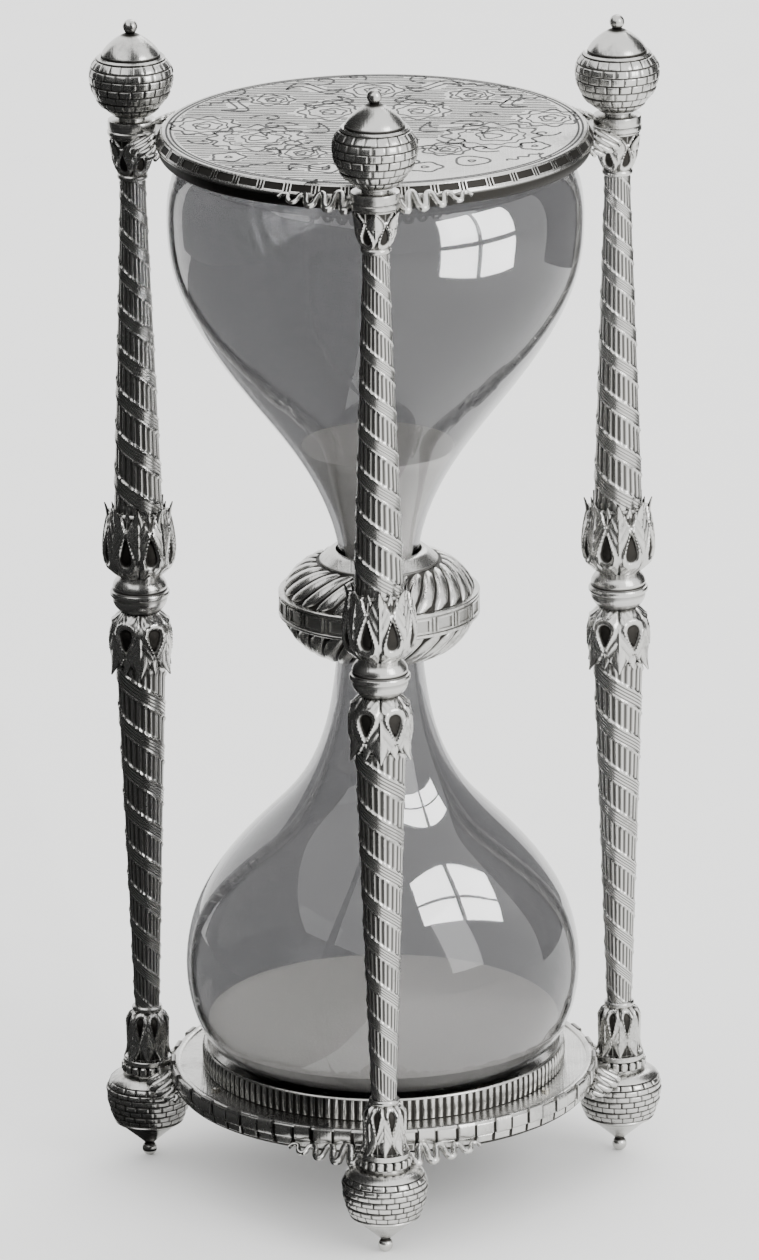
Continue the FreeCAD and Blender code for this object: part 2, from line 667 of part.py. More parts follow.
def make_neck_binding():
    outer = f"{COLLAR_BORE} + binding_thickness"
    top = f"2 * {BINDING_HALF}"
    body = turned("neck_binding", [(COLLAR_BORE, "0"), (outer, "0"), (outer, top), (COLLAR_BORE, top)])
    place(body, "upper", f"-{BINDING_HALF}")


def make_collar_dome(half):
    """A hollow dome from the middle plane outwards, with a flat end bored for the neck."""
    height = f"{half}_collar_height"
    end = f"({COLLAR_BORE} + {half}_collar_end)"
    body = turned(f"collar_{half}_dome", [
        ("collar_radius - collar_wall", "0"), ("collar_radius", "0"),
        ("collar_radius", "belt_height / 2", "collar_curve", -1), (end, height), (COLLAR_BORE, height),
        (COLLAR_BORE, f"{height} - collar_wall"),
        (f"{end} - collar_wall * 0.6", f"{height} - collar_wall", "collar_curve - collar_wall", 1),
        ("collar_radius - collar_wall", "belt_height / 2")])
    place(body, half, "0")


def make_collar_belt():
    outer = "collar_radius + belt_thickness"
    body = turned("collar_belt", [
        ("collar_radius", "0"), (outer, "0"), (outer, "belt_height"), ("collar_radius", "belt_height")])
    place(body, "upper", "-belt_height / 2")


def make_collar_skirt():
    foot = f"({COLLAR_BORE} + skirt_foot_width)"
    body = turned("collar_skirt", [
        (COLLAR_BORE, "0"), (foot, "0"), (foot, "skirt_height * 0.2"),
        (f"{COLLAR_BORE} + skirt_top_width", "skirt_height"), (COLLAR_BORE, "skirt_height")])
    place(body, "upper", "upper_collar_height")


# ---- serpentine ornaments -------------------------------------------------------------------------------

def scroll_shape():
    """One ornament: a wire that starts along +X at the origin and winds to and fro in the XY plane."""
    bend = value("scroll_bend")
    run = value("scroll_run")
    side = -1
    eighth = FreeCAD.Vector(bend * math.sin(math.pi / 4), side * bend * (1 - math.cos(math.pi / 4)), 0)
    here = FreeCAD.Vector(bend, side * bend, 0)
    edges = [Part.Arc(FreeCAD.Vector(), eighth, here).toShape()]
    for number in range(int(value("scroll_bends"))):
        reach = run / 2 if number == 0 else run
        run_end = here + FreeCAD.Vector(0, side * reach, 0)
        edges.append(line(here, run_end))
        here = run_end + FreeCAD.Vector(2 * bend, 0, 0)
        edges.append(Part.Arc(run_end, run_end + FreeCAD.Vector(bend, side * bend, 0), here).toShape())
        side = -side
    edges.append(line(here, here + FreeCAD.Vector(0, side * run / 2, 0)))
    circle = Part.Circle(FreeCAD.Vector(), FreeCAD.Vector(1, 0, 0), value("scroll_wire"))
    section = Part.Wire(circle.toShape())
    return Part.Wire(edges).makePipeShell([section], True, False)


def make_scrolls(half):
    """Two ornaments at each post, starting at the flanks of an eye and following the round edge."""
    upright = scroll_shape()
    tilt = value("scroll_tilt")
    swing = value("scroll_bend + scroll_run / 2") * math.cos(math.radians(tilt))
    edge = value(UPPER_PLATE if half == "upper" else LOWER_PLATE)
    middle_line = edge + value("scroll_gap + scroll_wire") + swing
    half_length = value("scroll_bend * (scroll_bends + 0.5)")
    eye = value(f"{half}_eye_radius")
    # the middle line is a chord: it starts at the eye's flank and is nearest the edge half-way along
    turn = math.asin(eye / math.hypot(middle_line, half_length)) + math.atan2(half_length, middle_line)
    start = middle_line * math.cos(turn) + half_length * math.sin(turn)
    solids = []
    for post in POSTS:
        angle = value(POSTS[post])
        for side in (1, -1):
            solid = upright.copy()
            solid.rotate(FreeCAD.Vector(), FreeCAD.Vector(1, 0, 0), tilt)
            solid.rotate(FreeCAD.Vector(), FreeCAD.Vector(0, 0, 1), math.degrees(turn))
            solid.translate(FreeCAD.Vector(eye, -start, 0))
            if side < 0:
                solid = solid.mirror(FreeCAD.Vector(), FreeCAD.Vector(1, 0, 0))
            # so far the post stands towards -Y
            solid.rotate(FreeCAD.Vector(), FreeCAD.Vector(0, 0, 1), angle + 90)
            solids.append(solid)
    level = f"{eye_level(half)} + {half}_eye_thickness / 2"
    piece = shaped(f"{ENDS[half]}_scrolls", Part.Compound(solids))
    place(piece, "upper", level if half == "upper" else f"-({level})")


# ---- the whole ------------------------------------------------------------------------------------------

for name in POSTS:
    make_tie_rod(name)
    make_knop(name)
    for side_of_middle in ENDS:
        make_calyx(name, side_of_middle)
        make_shaft(name, side_of_middle)
        make_capital(name, side_of_middle)
        make_cup(name, side_of_middle)
        make_acorn(name, side_of_middle)
make_top_plate()
make_bottom_plate()
make_top_rim()
make_bottom_rim()
make_seat_ring()
make_top_dowels()
make_bottom_rivets()
for side_of_middle in ENDS:
    make_cushion(side_of_middle)
    make_bulb(side_of_middle)
    make_sand(side_of_middle)
    make_collar_dome(side_of_middle)
    make_scrolls(side_of_middle)
make_orifice_plate()
make_neck_binding()
make_collar_belt()
make_collar_skirt()
document.recompute()

for item in document.Objects:
    if "Invalid" in item.State or "Error" in item.State:
        raise RuntimeError(f"{item.Label}: {item.State}")
for node in nodes:
    if node.Shape.isNull() or not node.Shape.isValid() or node.Shape.Volume <= 0:
        raise RuntimeError(f"{node.Label}: its shape is not a valid solid")
os.makedirs("parts", exist_ok=True)
for node in nodes:
    node.Shape.exportStep(f"parts/{node.Label}.step")
print(f"{len(nodes)} pieces")
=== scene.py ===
import math

import bmesh
import bpy
import numpy as np
from bpy.props import FloatProperty, FloatVectorProperty, IntProperty, PointerProperty
from bpy.types import Operator, Panel, PropertyGroup
from mathutils import Matrix, Quaternion, Vector


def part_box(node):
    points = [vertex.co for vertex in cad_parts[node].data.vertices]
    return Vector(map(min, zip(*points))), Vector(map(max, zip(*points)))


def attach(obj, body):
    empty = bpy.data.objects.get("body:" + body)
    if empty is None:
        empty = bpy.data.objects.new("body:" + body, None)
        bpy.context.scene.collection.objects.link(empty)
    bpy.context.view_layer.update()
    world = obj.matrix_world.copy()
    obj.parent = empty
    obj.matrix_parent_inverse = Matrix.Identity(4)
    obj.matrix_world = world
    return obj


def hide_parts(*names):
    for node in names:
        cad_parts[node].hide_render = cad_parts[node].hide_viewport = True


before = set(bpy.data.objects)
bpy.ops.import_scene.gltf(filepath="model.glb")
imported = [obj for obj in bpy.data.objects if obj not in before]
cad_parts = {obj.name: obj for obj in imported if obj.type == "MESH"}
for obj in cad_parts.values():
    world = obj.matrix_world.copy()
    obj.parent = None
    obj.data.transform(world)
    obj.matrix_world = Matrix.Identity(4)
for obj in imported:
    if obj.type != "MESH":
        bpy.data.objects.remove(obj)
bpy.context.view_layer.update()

bl_info = {
    "name": "Ornate hourglass",
    "version": (1, 0, 0),
    "blender": (4, 5, 0),
    "location": "3D View > Sidebar > Hourglass",
    "description": "Builds the finished pieces of a three-post hourglass and the stage it stands on",
    "category": "Object",
}

# Every piece is modelled in millimetres about its own axis, from its inner end outwards, and is then put on
# its level. A piece of the lower half is the same thing turned upside down.

POSTS = ("front", "left", "right")
ENDS = {"upper": "top", "lower": "bottom"}
TURN = 2 * math.pi

# Sizes that the pieces' boxes in the frame don't give. Millimetres, and radii where nothing else is said.
BORE = 1.3
SHAFT_END = 2.75
CALYX_FOOT, CALYX_LIP, CALYX_BORE = 4.3, 6.3, 5.5
CALYX_FLOOR, CALYX_RISE = 1.9, 5.6  # heights
ASTRAGAL = 1.3  # height
CUP_RING = 5.2
CUP_COURSES = 7  # count
ACORN_BALL = 1.6
ACORN_BALL_RISE = 1.4  # height of the ball's centre over its dome
EYES = {"upper": 5.3, "lower": 5.9}
EYE_HEIGHTS = {"upper": 1.2, "lower": 1.9}
PLATES = {"upper": 47.0, "lower": 46.3}
RIVET_CIRCLE = 41.6
RIVETS = 6  # count
FIRST_RIVET = math.radians(28)
COLLAR_BORE, COLLAR, COLLAR_BELT = 9.4, 20.4, 21.9
COLLAR_CURVE = 12.5
NECK = 8.6
GLASS_WALL = 1.3  # thickness
SAND_GAP = 0.06  # between the glass and the sand


# ---- sizes and colours ----------------------------------------------------------------------------------

class HourglassSizes(PropertyGroup):
    """Sizes of the ornament."""
    ribbon_width: FloatProperty(name="Ribbon width", default=0.0044, unit="LENGTH",
                                description="Width of each ribbon round a shaft, at its thick end")
    shaft_ribbons: IntProperty(name="Shaft ribbons", default=2, min=1, max=4,
                               description="Ribbons that wind round a shaft side by side")
    shaft_flutes: IntProperty(name="Shaft flutes", default=22, min=4, max=40,
                              description="Upright flutes round a shaft, between the turns of its ribbons")
    relief: FloatProperty(name="Leaf relief", default=0.0008, unit="LENGTH",
                          description="Depth of the eyes and seams between the leaves")
    bricks: IntProperty(name="Bricks", default=20, min=8, max=40,
                        description="Bricks in one course of a cup")
    joint_depth: FloatProperty(name="Joint depth", default=0.00035, unit="LENGTH",
                               description="Depth of the joints between a cup's bricks")
    gadroons: IntProperty(name="Gadroons", default=28, min=8, max=60,
                          description="Slanting lobes round each dome of the collar")
    belt_panels: IntProperty(name="Belt panels", default=22, min=6, max=60,
                             description="Framed panels round the collar's belt")
    border_panels: IntProperty(name="Border panels", default=46, min=12, max=90,
                               description="Framed panels round the top plate's edge")
    rim_blocks: IntProperty(name="Rim blocks", default=64, min=12, max=120,
                            description="Blocks round the bottom plate's edge")
    seat_flutes: IntProperty(name="Seat flutes", default=140, min=24, max=240,
                             description="Upright ribs round the ring that the lower bulb stands in")
    line_width: FloatProperty(name="Engraved line", default=0.00042, unit="LENGTH",
                              description="Width of the lines inlaid in the top plate")
    hatch_gap: FloatProperty(name="Hatch spacing", default=0.0014, unit="LENGTH",
                             description="Distance between the ground lines of the top plate's engraving")


class HourglassColours(PropertyGroup):
    """Colours of the materials."""
    metal: FloatVectorProperty(name="Metal", subtype="COLOR", default=(0.58, 0.575, 0.555), min=0, max=1,
                               description="Bare metal on the ridges")
    # the dark end of the metal: tarnish in the hollows, and painted shade on faces that lie in shade
    patina_and_shade: FloatVectorProperty(name="Patina and shade", subtype="COLOR", default=(0.035, 0.033, 0.03), min=0, max=1,
                                description="Tarnish in the hollows")
    glass: FloatVectorProperty(name="Glass", subtype="COLOR", default=(0.27, 0.27, 0.275), min=0, max=1,
                               description="Tint of the blown glass")
    sand: FloatVectorProperty(name="Sand", subtype="COLOR", default=(0.95, 0.92, 0.86), min=0, max=1,
                              description="Sand in the bulbs")
    leather: FloatVectorProperty(name="Leather", subtype="COLOR", default=(0.10, 0.07, 0.05), min=0, max=1,
                                 description="Pads at the ends of the bulbs")
    binding: FloatVectorProperty(name="Binding", subtype="COLOR", default=(0.24, 0.18, 0.12), min=0, max=1,
                                 description="Waxed thread round the necks")
    floor: FloatVectorProperty(name="Floor", subtype="COLOR", default=(0.93, 0.93, 0.92), min=0, max=1,
                               description="Floor of the stage")


# ---- levels ---------------------------------------------------------------------------------------------

def span(node):
    """A node's lowest and highest levels, in millimetres."""
    low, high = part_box(node)
    return low.z * 1000, high.z * 1000


def height_of(node):
    low, high = span(node)
    return high - low


def width_of(node):
    """A round node's outer radius, in millimetres."""
    low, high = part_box(node)
    return (high.x - low.x) * 500


def inner_end(node, half):
    """The level of the end nearer the middle of the hourglass."""
    low, high = span(node)
    return low if half == "upper" else high


def post_axis(post):
    low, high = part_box(f"{post}_tie_rod")
    return (low.x + high.x) * 500, (low.y + high.y) * 500


# ---- outlines -------------------------------------------------------------------------------------------

def run(start, end, steps, weight=1):
    """A straight part of an outline, without its last point. Rows hold radius, height and relief weight."""
    return [(start[0] + (end[0] - start[0]) * i / steps, start[1] + (end[1] - start[1]) * i / steps, weight)
            for i in range(steps)]


def bulge(start, end, steps, weight=1):
    """A round part of an outline that runs along the axis at its wider end, without its last point."""
    across, along = abs(end[0] - start[0]), abs(end[1] - start[1])
    radius = (across ** 2 + along ** 2) / (2 * across)
    wide = start if start[0] > end[0] else end
    centre = wide[0] - radius
    first = math.atan2(start[1] - wide[1], start[0] - centre)
    last = math.atan2(end[1] - wide[1], end[0] - centre)
    angles = [first + (last - first) * i / steps for i in range(steps)]
    return [(centre + radius * math.cos(a), wide[1] + radius * math.sin(a), weight) for a in angles]


def smooth_line(points, steps):
    """A line of even curvature through points, with a number of steps between each pair."""
    nodes = np.array(points, float)
    gaps = np.linalg.norm(np.diff(nodes, axis=0), axis=1)
    slopes = np.diff(nodes, axis=0) / gaps[:, None]
    count = len(nodes)
    system, sides = np.eye(count), np.zeros_like(nodes)
    for i in range(1, count - 1):
        system[i, i - 1:i + 2] = gaps[i - 1], 2 * (gaps[i - 1] + gaps[i]), gaps[i]
        sides[i] = 6 * (slopes[i] - slopes[i - 1])
    bends = np.linalg.solve(system, sides)
    found = []
    for i, gap in enumerate(gaps):
        for t in gap * np.arange(steps) / steps:
            rest = gap - t
            found.append((bends[i] * rest ** 3 + bends[i + 1] * t ** 3) / (6 * gap)
                         + (nodes[i] / gap - bends[i] * gap / 6) * rest
                         + (nodes[i + 1] / gap - bends[i + 1] * gap / 6) * t)
    return np.array(found + [nodes[-1]])


# ---- meshes ---------------------------------------------------------------------------------------------

def grid(points, darkness=None, ring=True):
    """A mesh from rows of points, each row closed on itself. A ring also joins its last row to its first;
    otherwise the first and last rows are closed to a point."""
    rows, columns = points.shape[:2]
    index = np.arange(rows * columns).reshape(rows, columns)
    index = np.hstack([index, index[:, :1]])
    if ring:
        index = np.vstack([index, index[:1]])
    quads = np.stack([index[:-1, :-1], index[:-1, 1:], index[1:, 1:], index[1:, :-1]], -1).reshape(-1, 4)
    mesh = bpy.data.meshes.new("grid")
    mesh.from_pydata(points.reshape(-1, 3).tolist(), [], quads.tolist())
    # each point's darkness: tarnish in the hollows, and painted shade on some faces
    depth = mesh.attributes.new("darkness", "FLOAT", "POINT")
    depth.data.foreach_set("value", np.zeros(rows * columns) if darkness is None else darkness.ravel())
    return mesh


def lathe(outline, columns, relief=None, ring=True):
    """A turned mesh. The relief lifts each point square to the outline and says how dark its metal is
    painted.
    """
    line = np.array(outline, float)
    along = np.gradient(line[:, :2], axis=0)
    square = np.stack([along[:, 1], -along[:, 0]], 1)
    square /= np.maximum(np.linalg.norm(square, axis=1), 1e-9)[:, None]
    angle = (TURN * np.arange(columns) / columns)[None, :]
    height = line[:, 1][:, None]
    flat = np.zeros((len(line), columns))
    lift, darkness = relief(angle, height) if relief else (flat, flat)
    lift = lift * line[:, 2][:, None]
    radius = line[:, 0][:, None] + square[:, 0][:, None] * lift
    height = height + square[:, 1][:, None] * lift
    points = np.stack([radius * np.cos(angle), radius * np.sin(angle), height], -1)
    return grid(points, darkness * line[:, 2][:, None], ring)


def sweep(path, radii, sides=8, darkness=0.0):
    """A round bar along a path, closed at both ends."""
    path = np.array(path, float)
    along = np.gradient(path, axis=0)
    along /= np.linalg.norm(along, axis=1)[:, None]
    side = np.cross(along, [0, 0, 1])
    side /= np.maximum(np.linalg.norm(side, axis=1), 1e-9)[:, None]
    up = np.cross(side, along)
    angle = (TURN * np.arange(sides) / sides)[None, :, None]
    radii = np.array(radii, float)[:, None, None]
    rings = path[:, None] + radii * (side[:, None] * np.cos(angle) + up[:, None] * np.sin(angle))
    ends = [np.repeat(path[:1][:, None], sides, 1), np.repeat(path[-1:][:, None], sides, 1)]
    points = np.concatenate([ends[0], rings, ends[1]])
    return grid(points, np.full(points.shape[:2], darkness), ring=False)


def lobe(outline, half_angle, lift, twist=0.0, across=5, darkness=0.6):
    """A raised lobe that follows an outline of (radius, height) rows, closed to a point at both ends. The
    half angle is its half width, as an angle at each row."""
    line = np.array(outline, float)[:, :2]
    rows = len(line)
    along = np.gradient(line, axis=0)
    square = np.stack([along[:, 1], -along[:, 0]], 1)
    square /= np.linalg.norm(square, axis=1)[:, None]
    half_angle = np.broadcast_to(half_angle, rows)
    lift = np.broadcast_to(lift, rows)
    share = np.linspace(-1, 1, across)
    front = np.sqrt(np.maximum(1 - share ** 2, 0))
    share = np.concatenate([share, [0.5, -0.5]])
    front = np.concatenate([front, [-0.4, -0.4]])
    radius = line[:, 0][:, None] + square[:, 0][:, None] * lift[:, None] * front
    height = line[:, 1][:, None] + square[:, 1][:, None] * lift[:, None] * front
    angle = half_angle[:, None] * share + np.linspace(0, twist, rows)[:, None]
    points = np.stack([radius * np.cos(angle), radius * np.sin(angle), height], -1)
    ends = [np.repeat(points[i].mean(0)[None, None], points.shape[1], 1) for i in (0, -1)]
    points = np.concatenate([ends[0], points, ends[1]])
    depth = np.clip(darkness * (1 - np.clip(front, 0, 1) * 1.6), 0, 1)
    return grid(points, np.broadcast_to(depth, points.shape[:2]), ring=False)


def framed_panel(foot, head, half_angle, bar, lift):
    """A raised rectangular frame on a turned face that runs from foot to head, both (radius, height)."""
    foot, head = np.array(foot, float), np.array(head, float)
    length = np.linalg.norm(head - foot)
    out = np.array([head[1] - foot[1], foot[0] - head[0]]) / length
    corners = [(-1, 0), (0, 0), (1, 0), (1, 0.5), (1, 1), (0, 1), (-1, 1), (-1, 0.5)]
    rows = []
    for across, along in corners:
        row = []
        for inset, rise in ((0, -0.3), (0, 1), (1, 1), (1, -0.3)):
            share = along + inset * bar / length * (1 - 2 * along)
            here = foot + (head - foot) * share + out * lift * rise
            angle = across * (half_angle - inset * bar / here[0])
            row.append((here[0] * math.cos(angle), here[0] * math.sin(angle), here[1]))
        rows.append(row)
    darkness = np.tile([0.5, 0.0, 0.0, 0.6], (len(corners), 1))
    return grid(np.array(rows), darkness)


def block(foot, head, half_angle, lift):
    """A raised block with softened edges on a turned face that runs from foot to head."""
    foot, head = np.array(foot, float), np.array(head, float)
    length = np.linalg.norm(head - foot)
    out = np.array([head[1] - foot[1], foot[0] - head[0]]) / length
    rows = []
    for inset, rise in ((0, -0.5), (0, 0.6), (0.14, 1)):
        row = []
        for across, along in ((-1, 0), (1, 0), (1, 1), (-1, 1)):
            share = along + inset * (1 - 2 * along)
            here = foot + (head - foot) * share + out * lift * rise
            angle = across * half_angle * (1 - inset)
            row.append((here[0] * math.cos(angle), here[0] * math.sin(angle), here[1]))
        rows.append(row)
    rows = [[np.mean(rows[0], 0)] * 4] + rows + [[np.mean(rows[-1], 0)] * 4]
    darkness = np.repeat([[0.6], [0.6], [0.3], [0.0], [0.0]], 4, 1)
    return grid(np.array(rows), darkness, ring=False)


def strip(path, width, thickness=0.05, level=0.0):
    """A flat inlaid line along a path in the plane."""
    path = np.array(path, float)
    along = np.gradient(path, axis=0)
    along /= np.maximum(np.linalg.norm(along, axis=1), 1e-9)[:, None]
    side = np.stack([-along[:, 1], along[:, 0]], 1) * width / 2
    low, high = level - thickness, level + thickness
    corners = [np.column_stack([path + side * s, np.full(len(path), z)])
               for s, z in ((-1, low), (-1, high), (1, high), (1, low))]
    points = np.stack(corners, 1)
    ends = [np.repeat(points[i].mean(0)[None, None], 4, 1) for i in (0, -1)]
    return grid(np.concatenate([ends[0], points, ends[1]]), ring=False)


# ---- repeating ------------------------------------------------------------------------------------------

def ring_tree():
    """The node tree that repeats a shape round the Z axis."""
    tree = bpy.data.node_groups.get("Ring of pieces")
    if tree:
        return tree
    tree = bpy.data.node_groups.new("Ring of pieces", "GeometryNodeTree")
    inputs = {"Shape": "Geometry", "Count": "Int", "Start": "Float", "Material": "Material"}
    for name, kind in inputs.items():
        tree.interface.new_socket(name, in_out="INPUT", socket_type=f"NodeSocket{kind}")
    tree.interface.new_socket("Ring", in_out="OUTPUT", socket_type="NodeSocketGeometry")

    def node(kind, **settings):
        made = tree.nodes.new(kind)
        for key, setting in settings.items():
            setattr(made, key, setting)
        return made

    def link(source, target):
        tree.links.new(source, target)

    entry, leave = node("NodeGroupInput"), node("NodeGroupOutput")
    line = node("GeometryNodeMeshLine")
    line.inputs["Offset"].default_value = (0, 0, 0)
    link(entry.outputs["Count"], line.inputs["Count"])
    index = node("GeometryNodeInputIndex")
    part = node("ShaderNodeMath", operation="DIVIDE")
    link(index.outputs[0], part.inputs[0])
    link(entry.outputs["Count"], part.inputs[1])
    turn = node("ShaderNodeMath", operation="MULTIPLY_ADD")
    turn.inputs[1].default_value = TURN
    link(part.outputs[0], turn.inputs[0])
    link(entry.outputs["Start"], turn.inputs[2])
    rotation = node("ShaderNodeCombineXYZ")
    link(turn.outputs[0], rotation.inputs["Z"])
    put = node("GeometryNodeInstanceOnPoints")
    link(line.outputs[0], put.inputs["Points"])
    link(entry.outputs["Shape"], put.inputs["Instance"])
    link(rotation.outputs[0], put.inputs["Rotation"])
    realize = node("GeometryNodeRealizeInstances")
    link(put.outputs[0], realize.inputs[0])
    paint = node("GeometryNodeSetMaterial")
    link(realize.outputs[0], paint.inputs["Geometry"])
    link(entry.outputs["Material"], paint.inputs["Material"])
    link(paint.outputs[0], leave.inputs[0])
    return tree


def ring_of(shape, count, material, start=0.0):
    """The shape repeated round the Z axis, as a plain mesh."""
    tree = ring_tree()
    holder = bpy.data.objects.new("holder", shape)
    bpy.context.scene.collection.objects.link(holder)
    modifier = holder.modifiers.new("Ring", "NODES")
    modifier.node_group = tree
    settings = {"Count": count, "Start": start, "Material": material}
    for item in tree.interface.items_tree:
        if item.in_out == "INPUT" and item.name in settings:
            modifier[item.identifier] = settings[item.name]
    depsgraph = bpy.context.evaluated_depsgraph_get()
    made = bpy.data.meshes.new_from_object(holder.evaluated_get(depsgraph))
    bpy.data.objects.remove(holder)
    if len(made.vertices) != count * len(shape.vertices):
        raise RuntimeError("the ring has not been made whole")
    return made


def fused(meshes, down=False):
    """One mesh of several closed ones, in metres, with its faces outwards."""
    work = bmesh.new()
    for mesh in meshes:
        work.from_mesh(mesh)
        bpy.data.meshes.remove(mesh)
    bmesh.ops.remove_doubles(work, verts=work.verts, dist=1e-4)
    bmesh.ops.scale(work, vec=(0.001, 0.001, -0.001 if down else 0.001), verts=work.verts)
    bmesh.ops.recalc_face_normals(work, faces=work.faces)
    mesh = bpy.data.meshes.new("fused")
    work.to_mesh(mesh)
    work.free()
    return mesh


def finish_piece(name, mesh, material, nodes=(), at=(0, 0, 0), sharp=38):
    """Puts a mesh in its place, in millimetres, as a finished piece that stands for CAD nodes."""
    mesh.transform(Matrix.Translation(Vector(at) / 1000))
    mesh.name = name
    mesh.materials.clear()
    mesh.materials.append(material)
    mesh.shade_smooth()
    mesh.set_sharp_from_angle(angle=math.radians(sharp))
    piece = bpy.data.objects.new(name, mesh)
    bpy.context.scene.collection.objects.link(piece)
    if nodes:
        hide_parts(*nodes)
    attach(piece, "root")
    return piece


def on_posts(kind, half, mesh, material, sharp=38):
    """The same piece on all three posts."""
    for post in POSTS:
        node = f"{post}_{kind}"
        place = (*post_axis(post), inner_end(node, half))
        finish_piece(f"fine_{node}", mesh.copy(), material, (node,), at=place, sharp=sharp)
    bpy.data.meshes.remove(mesh)


def on_axis(node, meshes, material, level, down=False, sharp=38):
    """A piece of several meshes on the hourglass's axis, in place of one CAD node."""
    finish_piece(f"fine_{node}", fused(meshes, down), material, (node,), (0, 0, level), sharp)


# ---- materials ------------------------------------------------------------------------------------------

def effect(name, inputs, outputs, build):
    """A shader node group, made once."""
    group = bpy.data.node_groups.get(name)
    if group:
        return group
    group = bpy.data.node_groups.new(name, "ShaderNodeTree")
    for label, kind, default in inputs:
        socket = group.interface.new_socket(label, in_out="INPUT", socket_type=f"NodeSocket{kind}")
        if default is not None:
            socket.default_value = default
    for label, kind in outputs:
        group.interface.new_socket(label, in_out="OUTPUT", socket_type=f"NodeSocket{kind}")
    build(group.nodes, group.links, group.nodes.new("NodeGroupInput"), group.nodes.new("NodeGroupOutput"))
    return group


def noise(nodes, links, vector, scale, detail=4.0):
    made = nodes.new("ShaderNodeTexNoise")
    made.inputs["Scale"].default_value = scale
    made.inputs["Detail"].default_value = detail
    links.new(vector, made.inputs["Vector"])
    return made.outputs["Fac"]


def mapped(nodes, links, source, low, high, to_low=0.0, to_high=1.0):
    made = nodes.new("ShaderNodeMapRange")
    made.interpolation_type = "SMOOTHSTEP"
    for label, number in (("From Min", low), ("From Max", high), ("To Min", to_low), ("To Max", to_high)):
        made.inputs[label].default_value = number
    links.new(source, made.inputs["Value"])
    return made.outputs["Result"]


def maths(nodes, links, operation, first, second):
    made = nodes.new("ShaderNodeMath")
    made.operation = operation
    for socket, source in zip(made.inputs, (first, second)):
        if isinstance(source, (int, float)):
            socket.default_value = source
        else:
            links.new(source, socket)
    return made.outputs[0]


def tarnish_and_shade():
    """Dark tarnish that settles in the hollows and clouds the open faces, and painted shade where the
    darkness attribute marks faces that lie in shade.
    """
    def build(nodes, links, entry, leave):
        vector, darkness = entry.outputs["Vector"], entry.outputs["Darkness"]
        clouds = mapped(nodes, links, noise(nodes, links, vector, 90.0), 0.42, 0.75)
        grains = mapped(nodes, links, noise(nodes, links, vector, 900.0, 2.0), 0.35, 0.75)
        settled_and_shaded = mapped(nodes, links, darkness, 0.08, 0.75)
        film = maths(nodes, links, "MULTIPLY", clouds, entry.outputs["Film"])
        mottled = maths(nodes, links, "MULTIPLY", film, maths(nodes, links, "ADD", 0.55, grains))
        mask = maths(nodes, links, "MAXIMUM", settled_and_shaded, mottled)
        links.new(mask, leave.inputs["Mask"])
        links.new(maths(nodes, links, "MULTIPLY", grains, 0.4), leave.inputs["Height"])
    return effect("Tarnish and painted shade", (("Vector", "Vector", None), ("Darkness", "Float", 0.0), ("Film", "Float", 0.35)),
                  (("Mask", "Float"), ("Height", "Float")), build)


def hairlines():
    """Fine scratches left by polishing, as a height."""
    def build(nodes, links, entry, leave):
        heights = []
        for turn, stretch in ((0.4, 2600.0), (-0.9, 2100.0)):
            move = nodes.new("ShaderNodeMapping")
            move.inputs["Rotation"].default_value = (turn, turn * 0.6, turn)
            move.inputs["Scale"].default_value = (stretch, 60.0, 60.0)
            links.new(entry.outputs["Vector"], move.inputs["Vector"])
            heights.append(noise(nodes, links, move.outputs["Vector"], 1.0, 1.0))
        links.new(maths(nodes, links, "ADD", *heights), leave.inputs["Height"])
    return effect("Hairlines", (("Vector", "Vector", None),), (("Height", "Float"),), build)


def new_material(name):
    """A material with its shader, or None for the shader if it has been made already."""
    material = bpy.data.materials.get(name)
    if material:
        return material, None
    material = bpy.data.materials.new(name)
    material.use_nodes = True
    return material, material.node_tree.nodes["Principled BSDF"]


def grouped(material, group):
    made = material.node_tree.nodes.new("ShaderNodeGroup")
    made.node_tree = group
    return made


def position(material):
    return material.node_tree.nodes.new("ShaderNodeTexCoord").outputs["Object"]


def bump(material, shader, height, strength, distance):
    made = material.node_tree.nodes.new("ShaderNodeBump")
    made.inputs["Strength"].default_value = strength
    made.inputs["Distance"].default_value = distance
    material.node_tree.links.new(height, made.inputs["Height"])
    material.node_tree.links.new(made.outputs[0], shader.inputs["Normal"])


def blended(material, mask, first, second):
    made = material.node_tree.nodes.new("ShaderNodeMix")
    made.data_type = "RGBA"
    colours = [socket for socket in made.inputs if socket.type == "RGBA"]
    colours[0].default_value = (*first, 1)
    colours[1].default_value = (*second, 1)
    material.node_tree.links.new(mask, made.inputs["Factor"])
    return next(socket for socket in made.outputs if socket.type == "RGBA")


def metal(name, bare, dark, film=0.35, rough=(0.24, 0.55)):
    """Polished metal, dark where its darkness attribute is high: tarnish in the hollows, and painted shade on
    some faces that lie in shade.
    """
    material, shader = new_material(name)
    if shader is None:
        return material
    nodes, links = material.node_tree.nodes, material.node_tree.links
    where = position(material)
    # the darkness attribute holds tarnish in the hollows and painted shade on some faces
    depth = nodes.new("ShaderNodeAttribute")
    depth.attribute_name = "darkness"
    stain_and_shade = grouped(material, tarnish_and_shade())
    stain_and_shade.inputs["Film"].default_value = film
    links.new(where, stain_and_shade.inputs["Vector"])
    links.new(depth.outputs["Fac"], stain_and_shade.inputs["Darkness"])
    lines = grouped(material, hairlines())
    links.new(where, lines.inputs["Vector"])
    links.new(blended(material, stain_and_shade.outputs["Mask"], bare, dark), shader.inputs["Base Color"])
    shader.inputs["Metallic"].default_value = 1.0
    links.new(mapped(nodes, links, stain_and_shade.outputs["Mask"], 0, 1, *rough), shader.inputs["Roughness"])
    height = maths(nodes, links, "ADD", lines.outputs["Height"], stain_and_shade.outputs["Height"])
    bump(material, shader, height, 0.12, 0.0002)
    return material


